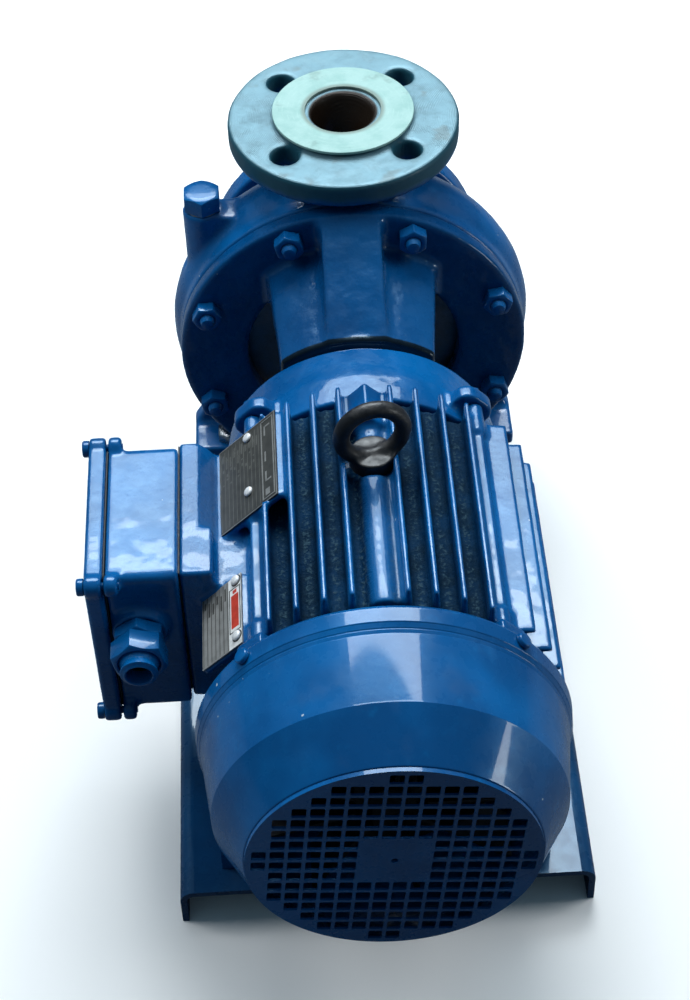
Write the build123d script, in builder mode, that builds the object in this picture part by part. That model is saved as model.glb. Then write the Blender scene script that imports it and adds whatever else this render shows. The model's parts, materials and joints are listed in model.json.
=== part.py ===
"""Close-coupled centrifugal water pump with a finned electric motor on a folded steel base.

Frame: origin at the centre of the suction flange face on the shaft axis, +Y out of the suction,
+Z up through the discharge, +X to the right when looking from the fan cowl towards the pump.
"""
from build123d import *
from math import cos, pi, radians, sin, sqrt
import os

# ---------------------------------------------------------------- driving dimensions (mm)
SHAFT_HEIGHT = 125.0        # shaft axis above the base plate
DISCHARGE_Y = -48.0         # discharge axis along the shaft
DISCHARGE_Z = 140.0         # discharge flange face above the shaft axis
RAISED_FACE = 3.0

DN40_RADIUS = 75.0
DN40_RIM = 16.0
DN40_BORE = 20.0
DN40_FACE_RADIUS = 44.0
DN40_BOLT_CIRCLE = 110.0
DN65_RADIUS = 92.5
DN65_RIM = 17.0
DN65_BORE = 32.5
DN65_FACE_RADIUS = 61.0
DN65_BOLT_CIRCLE = 145.0
FLANGE_HOLE = 9.0
GASKET_OUTER = 45.8
GASKET_INNER = 24.5
GASKET_THICKNESS = 2.0

CASING_RADIUS = 119.5       # largest radius of the casing barrel
JOINT_RADIUS = 115.0        # casing and lantern flanges
JOINT_Y = -110.0            # casing to lantern joint face
LANTERN_FLANGE = 12.0
STUD_CIRCLE = 103.0
STUD_COUNT = 8
STUD_RADIUS = 5.0
LANTERN_END_Y = -198.4
LANTERN_END_RADIUS = 77.4
ARCH_HALF_WIDTH = 54.0      # lantern arch at the casing end
ARCH_END_HALF_WIDTH = 48.0  # lantern arch at the motor end
COVER_SEAT_RADIUS = 92.0
COVER_SEAT_Y = -100.0

IMPELLER_RADIUS = 66.0
SHAFT_SEAL_RADIUS = 12.0
MOTOR_SHAFT_RADIUS = 14.0
BEARING_BORE = 15.0
BEARING_RADIUS = 31.0
BEARING_WIDTH = 16.0
BALL_RADIUS = 4.75
BALL_CIRCLE = 23.0
BALL_COUNT = 9
FRONT_BEARING_Y = -214.0    # face of the drive end bearing nearer the pump
REAR_BEARING_Y = -414.0     # face of the rear bearing nearer the pump

FRAME_FRONT = -262.0
FRAME_REAR = -428.0
FRAME_RADIUS = 84.0
FRAME_BORE = 77.0
FIN_RADIUS = 104.0
SIDE_FIN_RADIUS = 105.5
TOP_FIN_PITCH = 15.2
SIDE_FIN_PITCH = 16.8
SIDE_FIN_FIRST = -38.8
SIDE_FIN_COUNT = 7
CORNER_FIN_X = 68.5         # upright fins that close the fan of fins on both sides
CORNER_FIN_TOP = 70.0
FIN_ROOT = 5.4
FIN_TIP = 3.0
RIDGE_HEIGHT = 3.5          # low cast ridges between the upright fins
RIDGE_WIDTH = 2.6
SHIELD_FRONT = -213.0
SHIELD_FRONT_RADIUS = 84.3
SHIELD_RADIUS = 88.0
LUG_CIRCLE = 94.5
LUG_FRONT = -243.0
LUG_REAR = -253.0
LANTERN_END_RING = 66.0     # round end of the lantern between its two arches
SCREW_BOSS = 5.4
EYE_X = 2.3
EYE_Y = -316.0
EYE_TURN = 12.0
RIB_X = 2.0
RIB_RADIUS = 9.0
RIB_TOP = 96.0
RIDGE_END = -292.0          # the pointed front stretch of the rib ends here
EYE_SEAT_Z = 90.0
PLATE_DISTANCE = 100.0      # nameplate pads from the shaft axis, on the upper left 45 degree side

COWL_FRONT = -438.0
COWL_RIM_RADIUS = 107.0
COWL_RADIUS = 104.0
COWL_EDGE_Y = -498.5
COWL_EDGE_RADIUS = 103.5
COWL_END = -528.0
COWL_END_RADIUS = 83.0
COWL_SHEET = 1.5
COWL_SCREW_Y = -443.0
GRILLE_PITCH = 9.8
GRILLE_HOLE = 7.8
GRILLE_TILT = 5.2

BOX_INNER_X = -111.0
BOX_OUTER_X = -153.0
BOX_Y = -325.5
BOX_LENGTH = 104.0
BOX_Z = 11.5
BOX_HEIGHT = 117.0
BOX_WALL = 4.0
COVER_OUTER_X = -164.5
COVER_LENGTH = 122.0
COVER_HEIGHT = 126.0
GLAND_X = -136.5
GLAND_Z = 28.0
GLAND_BOSS = 6.0
GLAND_NUT_FLATS = 29.0

BASE_HALF_WIDTH = 126.0
BASE_STEP = -185.0           # the base narrows from here towards the pump
BASE_FRONT = -40.0
BASE_FRONT_HALF_WIDTH = 112.0
BASE_REAR = -460.0
BASE_SHEET = 4.0
BASE_LEG = 30.0
BASE_BEND = 9.0
MOTOR_FOOT_Z = -100.0
FOOT_SPREAD = 80.0          # motor foot bolts from the centre plane
FOOT_BOLTS_Y = (-275.0, -415.0)
PUMP_FOOT_X = 88.0
PUMP_FOOT_Y = -76.0

os.makedirs("parts", exist_ok=True)


# ---------------------------------------------------------------- helpers
def save(piece, name):
    """Labels a finished piece and writes it as its own node."""
    piece.part.label = name
    export_step(piece.part, f"parts/{name}.step")


def across(y):
    """Plane square to the shaft: local x is +X, local y is +Z, its normal points at the fan."""
    return Plane(origin=(0, y, 0), x_dir=(1, 0, 0), z_dir=(0, -1, 0))


def turned(*profile, mode=Mode.ADD):
    """Solid turned about the shaft axis from a closed outline of (radius, y) points."""
    with BuildSketch(Plane.XY) as outline:
        Polygon(*profile, align=None)
    revolve(outline.sketch, axis=Axis.Y, mode=mode)


def ring(inner, outer, y_a, y_b, mode=Mode.ADD):
    """Plain ring about the shaft axis."""
    turned((inner, y_a), (outer, y_a), (outer, y_b), (inner, y_b), mode=mode)


def block(x, y, z, mode=Mode.ADD):
    """Rectangular block between the pairs of limits x, y and z."""
    middle = [(low + high) / 2 for low, high in (x, y, z)]
    with Locations(tuple(middle)):
        Box(abs(x[1] - x[0]), abs(y[1] - y[0]), abs(z[1] - z[0]), mode=mode)


def round_bars(plane, spots, radius, length, mode=Mode.ADD):
    """Round bars from a plane, one at each local spot."""
    with BuildSketch(plane) as ends:
        with Locations(*spots):
            Circle(radius)
    extrude(ends.sketch, amount=length, mode=mode)


def hex_bars(plane, spots, flats, length, mode=Mode.ADD):
    """Hexagonal bars from a plane, one at each local spot."""
    with BuildSketch(plane) as ends:
        with Locations(*spots):
            RegularPolygon(flats / 2, 6, major_radius=False)
    extrude(ends.sketch, amount=length, mode=mode)


def hex_screws(plane, spots, radius, length, flats, head):
    """Hexagon head screws: heads stand on the plane, shanks go back through it."""
    hex_bars(plane, spots, flats, head)
    round_bars(plane, spots, radius, -length)


def circle_spots(radius, count, start):
    """Local spots spaced evenly on a circle, the first at the start angle in degrees."""
    angles = [radians(start + 360 * i / count) for i in range(count)]
    return [(radius * cos(a), radius * sin(a)) for a in angles]


def chord(radius, offset):
    """Height of a circle above a line at the given offset from its centre."""
    return sqrt(radius ** 2 - offset ** 2)


STUDS = circle_spots(STUD_CIRCLE, STUD_COUNT, 22.5)
LUGS = circle_spots(LUG_CIRCLE, 4, 45)
DISCHARGE_TOP = Plane.XY.offset(DISCHARGE_Z)


# ================================================================ pump end
FLANGE_BOTTOM_Z = DISCHARGE_Z - RAISED_FACE - DN40_RIM
DISCHARGE_AXIS = Axis((0, DISCHARGE_Y, 0), (0, 0, 1))
VOLUTE_START = 74.0         # spiral radius at the tongue
VOLUTE_GROWTH = 28.0        # how much the spiral opens up to the throat
VOLUTE_SWEEP = 310.0
TONGUE_ANGLE = 60.0
VOLUTE_FRONT = -60.0
VOLUTE_REAR = -92.0
FILLER_X = -94.0
FILLER_Y = -83.0
FILLER_TOP = 96.0
FILLER_RADIUS = 13.0
FILLER_THREAD = 8.0
DRAIN_Z = -94.0


def volute_point(sweep):
    """Point of the volute spiral, in local coordinates of a plane across the shaft."""
    reach = VOLUTE_START + VOLUTE_GROWTH * sweep / VOLUTE_SWEEP
    angle = radians(TONGUE_ANGLE - sweep)
    return (reach * cos(angle), reach * sin(angle))


with BuildPart() as volute_casing:
    # barrel: joint flange, bulged body and domed front running into the suction neck
    with BuildSketch(Plane.XY):
        with BuildLine():
            Polyline((54, -36), (50, -30), (50, -18), (0, -18), (0, JOINT_Y),
                     (JOINT_RADIUS, JOINT_Y), (JOINT_RADIUS, JOINT_Y + 9))
            Spline((JOINT_RADIUS, JOINT_Y + 9), (CASING_RADIUS, -84), (110, -60), (86, -43), (54, -36))
        make_face()
    revolve(axis=Axis.Y)
    # suction flange
    ring(0, DN65_RADIUS, -RAISED_FACE, -RAISED_FACE - DN65_RIM)
    ring(0, DN65_FACE_RADIUS, 0, -RAISED_FACE)
    # discharge neck and flange
    with BuildSketch(Plane((0, DISCHARGE_Y, 0), x_dir=(1, 0, 0), z_dir=(0, -1, 0))):
        with BuildLine():
            Polyline((44, 86), (0, 86), (0, FLANGE_BOTTOM_Z + 1), (35, FLANGE_BOTTOM_Z + 1))
            ThreePointArc((35, FLANGE_BOTTOM_Z + 1), (37, 106), (44, 86))
        make_face()
    revolve(axis=DISCHARGE_AXIS)
    with BuildSketch(Plane.XY.offset(FLANGE_BOTTOM_Z)):
        with Locations((0, DISCHARGE_Y)):
            Circle(DN40_RADIUS)
    extrude(amount=DN40_RIM)
    with BuildSketch(Plane.XY.offset(FLANGE_BOTTOM_Z + DN40_RIM)):
        with Locations((0, DISCHARGE_Y)):
            Circle(DN40_FACE_RADIUS)
    extrude(amount=RAISED_FACE)
    # filler boss and the flat-topped web that joins it to the barrel
    with BuildSketch(Plane.XY.offset(40)):
        with Locations((FILLER_X, FILLER_Y)):
            Circle(FILLER_RADIUS)
    extrude(amount=FILLER_TOP - 40)
    block((FILLER_X, -50), (FILLER_Y - 11, FILLER_Y + 11), (50, FILLER_TOP - 1.5))
    # two feet under the barrel
    for side in (-1, 1):
        with BuildSketch(across(PUMP_FOOT_Y + 20)):
            with BuildLine():
                Polyline((side * 60, -SHAFT_HEIGHT), (side * 114, -SHAFT_HEIGHT), (side * 114, -113),
                         (side * 108, -104), (side * 104, -45), (side * 60, -70), close=True)
            make_face()
        extrude(amount=12)
        block((side * 60, side * 114), (PUMP_FOOT_Y - 20, PUMP_FOOT_Y + 20), (-SHAFT_HEIGHT, -113))
    # bolting boss under the barrel for the drain
    with BuildSketch(Plane.XY.offset(-SHAFT_HEIGHT + 5)):
        with Locations((0, -78)):
            Circle(14)
    extrude(amount=20)
    # water ways: suction, impeller chamber, spiral and curved discharge passage
    turned((0, 0), (DN65_BORE, 0), (DN65_BORE, -34), (30, -46), (38, -46), (38, -57), (70, -57),
           (76, -70), (76, -92), (86, -92), (86, COVER_SEAT_Y), (COVER_SEAT_RADIUS, COVER_SEAT_Y),
           (COVER_SEAT_RADIUS, JOINT_Y), (0, JOINT_Y), mode=Mode.SUBTRACT)
    with BuildSketch(across(VOLUTE_FRONT)):
        with BuildLine():
            spiral = Spline(*[volute_point(VOLUTE_SWEEP * i / 12) for i in range(13)])
            Line(spiral @ 1, spiral @ 0)
        make_face()
    extrude(amount=VOLUTE_FRONT - VOLUTE_REAR, mode=Mode.SUBTRACT)
    for centre, radius in (((-24, -76, 80), 15), ((-8, -60, 112), 18.5), ((0, DISCHARGE_Y, 141), DN40_BORE)):
        with BuildSketch(Plane(centre)):
            Circle(radius)
    loft(mode=Mode.SUBTRACT)
    # bolt holes of both flanges
    with BuildSketch(DISCHARGE_TOP):
        with Locations((0, DISCHARGE_Y)):
            with PolarLocations(DN40_BOLT_CIRCLE / 2, 4, 45):
                Circle(FLANGE_HOLE)
    extrude(amount=-(RAISED_FACE + DN40_RIM), mode=Mode.SUBTRACT)
    round_bars(across(0), circle_spots(DN65_BOLT_CIRCLE / 2, 4, 45), FLANGE_HOLE,
               RAISED_FACE + DN65_RIM, mode=Mode.SUBTRACT)
    # tapped holes: studs, filler, drain and foot bolts
    round_bars(across(JOINT_Y), STUDS, STUD_RADIUS, -12, mode=Mode.SUBTRACT)
    with Locations((FILLER_X, FILLER_Y, FILLER_TOP)):
        Cylinder(FILLER_THREAD, 20, align=(Align.CENTER, Align.CENTER, Align.MAX), mode=Mode.SUBTRACT)
    with Locations((FILLER_X + 12, FILLER_Y, 60)):
        Cylinder(4, 60, rotation=(0, 65, 0), mode=Mode.SUBTRACT)
    with Locations((0, -78, -SHAFT_HEIGHT + 5)):
        Cylinder(6, 45, align=(Align.CENTER, Align.CENTER, Align.MIN), mode=Mode.SUBTRACT)
    with BuildSketch(Plane.XY.offset(-SHAFT_HEIGHT)):
        with Locations((-PUMP_FOOT_X, PUMP_FOOT_Y - 8), (PUMP_FOOT_X, PUMP_FOOT_Y - 8)):
            Circle(7)
    extrude(amount=12, mode=Mode.SUBTRACT)
save(volute_casing, "volute_casing")

with BuildPart() as casing_wear_ring:
    ring(34.2, 38, -46, -56)
save(casing_wear_ring, "casing_wear_ring")

with BuildPart() as casing_gasket:
    ring(86, COVER_SEAT_RADIUS - 0.1, COVER_SEAT_Y, COVER_SEAT_Y - 1)
save(casing_gasket, "casing_gasket")

SEAL_POCKET = 18.0
SEAL_CHAMBER = 20.0
with BuildPart() as seal_cover:
    turned((13.5, -116), (28, -116), (30, JOINT_Y), (COVER_SEAT_RADIUS - 0.1, JOINT_Y),
           (COVER_SEAT_RADIUS - 0.1, -101), (62, -101), (62, -92), (SEAL_CHAMBER, -92),
           (SEAL_CHAMBER, -106), (SEAL_POCKET, -106), (SEAL_POCKET, -114), (13.5, -114))
save(seal_cover, "seal_cover")

with BuildPart() as pump_lantern:
    # joint flange, conical wall and motor end ring
    turned((70, JOINT_Y), (JOINT_RADIUS, JOINT_Y), (JOINT_RADIUS, JOINT_Y - LANTERN_FLANGE),
           (88, JOINT_Y - LANTERN_FLANGE), (LANTERN_END_RADIUS, LANTERN_END_Y), (47.55, LANTERN_END_Y),
           (47.55, -188), (67, -188), (70, -180))
    # side windows leave one arch above and one below
    for side in (-1, 1):
        with BuildSketch(Plane.XY.offset(-120)):
            with BuildLine():
                Polyline((side * ARCH_HALF_WIDTH, JOINT_Y - LANTERN_FLANGE), (side * 130, JOINT_Y - LANTERN_FLANGE),
                         (side * 130, LANTERN_END_Y - 1), (side * ARCH_END_HALF_WIDTH, LANTERN_END_Y - 1), close=True)
            make_face()
        extrude(amount=240, mode=Mode.SUBTRACT)
    ring(47.55, LANTERN_END_RING, -188, LANTERN_END_Y)
    # sloping flat-topped rib on each arch
    for side in (-1, 1):
        with BuildSketch(Plane.YZ.offset(-19)):
            with BuildLine():
                Polyline((-112, side * 74), (-112, side * 113), (-122, side * 112),
                         (LANTERN_END_Y, side * 75.5), (LANTERN_END_Y, side * 70), close=True)
            make_face()
        extrude(amount=38)
    round_bars(across(JOINT_Y - LANTERN_FLANGE), STUDS, STUD_RADIUS + 0.5, -LANTERN_FLANGE, mode=Mode.SUBTRACT)
    round_bars(across(LANTERN_END_Y), circle_spots(57.5, 4, 45), 4.5, -12, mode=Mode.SUBTRACT)
save(pump_lantern, "pump_lantern")

NUT_FACE_Y = JOINT_Y - LANTERN_FLANGE
with BuildPart() as casing_studs:
    round_bars(across(NUT_FACE_Y - 12.5), STUDS, STUD_RADIUS, -36)
save(casing_studs, "casing_studs")

with BuildPart() as casing_nuts:
    hex_bars(across(NUT_FACE_Y), STUDS, 17, 8.4)
    round_bars(across(NUT_FACE_Y), STUDS, STUD_RADIUS, 8.4, mode=Mode.SUBTRACT)
save(casing_nuts, "casing_nuts")

with BuildPart() as discharge_gasket:
    with BuildSketch(DISCHARGE_TOP):
        with Locations((0, DISCHARGE_Y)):
            Circle(GASKET_OUTER)
            Circle(GASKET_INNER, mode=Mode.SUBTRACT)
    extrude(amount=GASKET_THICKNESS)
save(discharge_gasket, "discharge_gasket")

with BuildPart() as filler_seal:
    with BuildSketch(Plane.XY.offset(FILLER_TOP)):
        with Locations((FILLER_X, FILLER_Y)):
            Circle(11)
            Circle(FILLER_THREAD, mode=Mode.SUBTRACT)
    extrude(amount=1)
save(filler_seal, "filler_seal")

with BuildPart() as filler_plug:
    hex_screws(Plane((FILLER_X, FILLER_Y, FILLER_TOP + 1)), [(0, 0)], FILLER_THREAD, 13, 22.5, 12)
save(filler_plug, "filler_plug")

with BuildPart() as drain_plug:
    with BuildSketch(Plane.XY.offset(-SHAFT_HEIGHT + 5)):
        with Locations((0, -78)):
            Circle(6)
            Rectangle(5, 5, mode=Mode.SUBTRACT)
    extrude(amount=10)
    with BuildSketch(Plane.XY.offset(-SHAFT_HEIGHT + 11)):
        with Locations((0, -78)):
            Circle(6)
    extrude(amount=4)
save(drain_plug, "drain_plug")

with BuildPart() as pump_foot_bolts:
    spots = [(-PUMP_FOOT_X, PUMP_FOOT_Y - 8), (PUMP_FOOT_X, PUMP_FOOT_Y - 8)]
    hex_screws(Plane.XY.offset(-113), spots, 6, 24, 18, 7.5)
save(pump_foot_bolts, "pump_foot_bolts")

# ================================================================ rotating pump parts and seal
VANE_COUNT = 6
VANE_THICKNESS = 3.2
with BuildPart() as impeller:
    # curved vanes, trimmed to the space between the shrouds
    with BuildSketch(across(-58)):
        for i in range(VANE_COUNT):
            turn = 360 * i / VANE_COUNT
            with BuildLine(mode=Mode.PRIVATE) as vane:
                inner = Vector(27, 0).rotate(Axis.Z, turn)
                middle = Vector(47, 0).rotate(Axis.Z, turn + 34)
                outer = Vector(IMPELLER_RADIUS - 1, 0).rotate(Axis.Z, turn + 88)
                ThreePointArc(inner, middle, outer)
            trace(vane.line, line_width=VANE_THICKNESS)
    extrude(amount=28)
    turned((20, -86), (20, -60), (32, -60), (IMPELLER_RADIUS, -72), (IMPELLER_RADIUS, -86),
           mode=Mode.INTERSECT)
    # back shroud with hub, front shroud with neck ring
    turned((11, -88), (IMPELLER_RADIUS, -88), (IMPELLER_RADIUS, -84), (24, -84), (17, -64), (11, -64))
    turned((29, -47), (34, -47), (34, -60), (IMPELLER_RADIUS, -70.5), (IMPELLER_RADIUS, -74), (33, -63.5), (29, -61))
    block((-4, 4), (-88, -64), (9, 14), mode=Mode.SUBTRACT)
save(impeller, "impeller")

with BuildPart() as impeller_key:
    block((-4, 4), (-86, -66), (8, 14))
save(impeller_key, "impeller_key")

with BuildPart() as impeller_nut:
    hex_bars(across(-64), [(0, 0)], 24, -10)
    turned((0, -55), (11.9, -55), (10.5, -50), (7, -47), (0, -45.6))
    ring(0, 8, -64, -56, mode=Mode.SUBTRACT)
save(impeller_nut, "impeller_nut")

with BuildPart() as seal_seat:
    ring(12.8, SEAL_POCKET, -114, -106)
save(seal_seat, "seal_seat")

with BuildPart() as seal_ring:
    ring(SHAFT_SEAL_RADIUS, 17, -105.98, -99)
save(seal_ring, "seal_ring")

with BuildPart() as seal_spring:
    with BuildLine():
        coil = Helix(3.0, 8.6, 14.6, center=(0, -98.2, 0), direction=(0, 1, 0))
    with BuildSketch(Plane(origin=coil @ 0, z_dir=coil % 0)):
        Circle(0.7)
    sweep(is_frenet=True)
save(seal_spring, "seal_spring")

with BuildPart() as stub_shaft:
    turned((0, -56), (8, -56), (8, -64), (11, -64), (11, -88), (SHAFT_SEAL_RADIUS, -88),
           (SHAFT_SEAL_RADIUS, -128), (22, -134), (22, -186), (MOTOR_SHAFT_RADIUS, -186),
           (MOTOR_SHAFT_RADIUS, -142), (0, -142))
    block((-4, 4), (-86, -66), (8, 14), mode=Mode.SUBTRACT)
    block((-4, 4), (-182, -146), (10, 17.5), mode=Mode.SUBTRACT)
    for y in (-152, -174):
        with Locations((0, y, 0)):
            Cylinder(4, 50, rotation=(0, 90, 0), align=(Align.CENTER, Align.CENTER, Align.MIN), mode=Mode.SUBTRACT)
save(stub_shaft, "stub_shaft")

with BuildPart() as stub_grub_screws:
    for y in (-152, -174):
        with Locations((MOTOR_SHAFT_RADIUS, y, 0)):
            Cylinder(4, 8, rotation=(0, 90, 0), align=(Align.CENTER, Align.CENTER, Align.MIN))
    with BuildSketch(Plane.YZ.offset(MOTOR_SHAFT_RADIUS + 8)):
        with Locations((-152, 0), (-174, 0)):
            RegularPolygon(2, 6, major_radius=False)
    extrude(amount=-4, mode=Mode.SUBTRACT)
save(stub_grub_screws, "stub_grub_screws")

with BuildPart() as shaft_key:
    block((-4, 4), (-181, -147), (10, 17.5))
save(shaft_key, "shaft_key")

with BuildPart() as water_thrower:
    turned((SHAFT_SEAL_RADIUS, -118.5), (18, -118.5), (26, -121), (26, -123), (18, -125), (SHAFT_SEAL_RADIUS, -125))
save(water_thrower, "water_thrower")

# ================================================================ motor rotor and bearings
with BuildPart() as motor_shaft:
    turned((0, -143), (MOTOR_SHAFT_RADIUS - 1, -143), (MOTOR_SHAFT_RADIUS, -144), (MOTOR_SHAFT_RADIUS, -208),
           (BEARING_BORE, -208), (BEARING_BORE, -230), (18, -230), (18, -250), (20, -250), (20, -400),
           (18, -400), (18, REAR_BEARING_Y), (BEARING_BORE, REAR_BEARING_Y), (BEARING_BORE, -440),
           (12, -440), (12, -490), (0, -490))
    block((-4, 4), (-181, -147), (10, 17.5), mode=Mode.SUBTRACT)
    ring(11.2, 12, -482, -483.2, mode=Mode.SUBTRACT)
save(motor_shaft, "motor_shaft")

with BuildPart() as rotor_core:
    ring(20, 49.8, -275, -395)
    ring(30, 46, -268, -275)
    ring(30, 46, -395, -402)
save(rotor_core, "rotor_core")


def bearing_spots():
    """Ball centres on the pitch circle, in a plane across the shaft."""
    return circle_spots(BALL_CIRCLE, BALL_COUNT, 90)


def raceway_groove(face):
    """Cuts the ball groove half way along a bearing that starts at the given face."""
    with BuildSketch(Plane.XY) as groove:
        with Locations((BALL_CIRCLE, face - BEARING_WIDTH / 2)):
            Circle(BALL_RADIUS + 0.05)
    revolve(groove.sketch, axis=Axis.Y, mode=Mode.SUBTRACT)


with BuildPart() as bearing_inner_rings:
    for face in (FRONT_BEARING_Y, REAR_BEARING_Y):
        ring(BEARING_BORE, 20, face, face - BEARING_WIDTH)
        raceway_groove(face)
save(bearing_inner_rings, "bearing_inner_rings")

with BuildPart() as bearing_outer_rings:
    for face in (FRONT_BEARING_Y, REAR_BEARING_Y):
        ring(26, BEARING_RADIUS, face, face - BEARING_WIDTH)
        raceway_groove(face)
save(bearing_outer_rings, "bearing_outer_rings")


def ball_set(face):
    """Balls of one bearing."""
    with BuildPart() as balls:
        with Locations(*[(x, face - BEARING_WIDTH / 2, z) for x, z in bearing_spots()]):
            Sphere(BALL_RADIUS)
    return balls


def ball_cage(face):
    """Ring with a pocket for each ball of one bearing."""
    with BuildPart() as cage:
        ring(21.4, 24.6, face - 2, face - BEARING_WIDTH + 2)
        for x, z in bearing_spots():
            with BuildSketch(Plane(origin=(0, face - BEARING_WIDTH / 2, 0), z_dir=(x, 0, z))) as pocket:
                Circle(BALL_RADIUS + 0.1)
            extrude(pocket.sketch, amount=30, mode=Mode.SUBTRACT)
    return cage


front_bearing_balls = ball_set(FRONT_BEARING_Y)
save(front_bearing_balls, "front_bearing_balls")
front_ball_cage = ball_cage(FRONT_BEARING_Y)
save(front_ball_cage, "front_ball_cage")
rear_bearing_balls = ball_set(REAR_BEARING_Y)
save(rear_bearing_balls, "rear_bearing_balls")
rear_ball_cage = ball_cage(REAR_BEARING_Y)
save(rear_ball_cage, "rear_ball_cage")

with BuildPart() as bearing_wave_washer:
    ring(26.5, 30.8, REAR_BEARING_Y - BEARING_WIDTH, REAR_BEARING_Y - BEARING_WIDTH - 1.5)
save(bearing_wave_washer, "bearing_wave_washer")

FAN_BLADES = 9
with BuildPart() as cooling_fan:
    ring(12, 22, -456, -481)
    turned((12, -462), (34, -462), (62, -470), (62, -472.5), (34, -465), (12, -465))
    with BuildSketch(across(-462)):
        with PolarLocations(55, FAN_BLADES):
            Rectangle(68, 2.4)
    extrude(amount=30)
save(cooling_fan, "cooling_fan")

with BuildPart() as fan_circlip:
    ring(11.2, 14, -482, -483.2)
    block((-3, 3), (-484, -481), (5, 15), mode=Mode.SUBTRACT)
save(fan_circlip, "fan_circlip")

# ================================================================ motor housing
with BuildPart() as drive_end_shield:
    turned((23.5, -193), (47.45, -193), (47.45, LANTERN_END_Y), (68, LANTERN_END_Y), (68, -207),
           (80, -210), (SHIELD_FRONT_RADIUS, SHIELD_FRONT), (SHIELD_RADIUS, -240), (SHIELD_RADIUS, FRAME_FRONT),
           (FRAME_BORE, FRAME_FRONT), (FRAME_BORE, FRAME_FRONT - 5), (72, FRAME_FRONT - 5), (72, -226),
           (60, -222), (39, -222), (39, -232), (BEARING_RADIUS, -232), (BEARING_RADIUS, FRONT_BEARING_Y),
           (17, FRONT_BEARING_Y), (17, -203), (23.5, -203))
    with BuildSketch(across(LUG_FRONT)):
        with PolarLocations(88, 4, 45):
            RectangleRounded(28, 27, 9)
    extrude(amount=LUG_FRONT - LUG_REAR)
    round_bars(across(LUG_FRONT), LUGS, 3.4, LUG_FRONT - LUG_REAR, mode=Mode.SUBTRACT)
    round_bars(across(LANTERN_END_Y), circle_spots(57.5, 4, 45), 4, 14, mode=Mode.SUBTRACT)
save(drive_end_shield, "drive_end_shield")

with BuildPart() as lantern_screws:
    hex_bars(across(-188), circle_spots(57.5, 4, 45), 13, -5.5)
    round_bars(across(-188), circle_spots(57.5, 4, 45), 4, 24)
save(lantern_screws, "lantern_screws")

with BuildPart() as shaft_lip_seal:
    turned((14.05, -196), (16, -194), (23.5, -194), (23.5, -202), (21.5, -202), (21.5, -196))
save(shaft_lip_seal, "shaft_lip_seal")


def fin(offset, reach, root, side_on, sign):
    """Draws one cooling fin on a plane across the shaft, tapering from root to tip.

    A fin that is side_on points along local x, otherwise along local y; sign gives the direction.
    """
    corners = [(-FIN_ROOT / 2, root), (-FIN_TIP / 2, reach), (FIN_TIP / 2, reach), (FIN_ROOT / 2, root)]
    if side_on:
        points = [(sign * out, offset + wide) for wide, out in corners]
    else:
        points = [(offset + wide, sign * out) for wide, out in corners]
    Polygon(*points, align=None)


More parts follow.
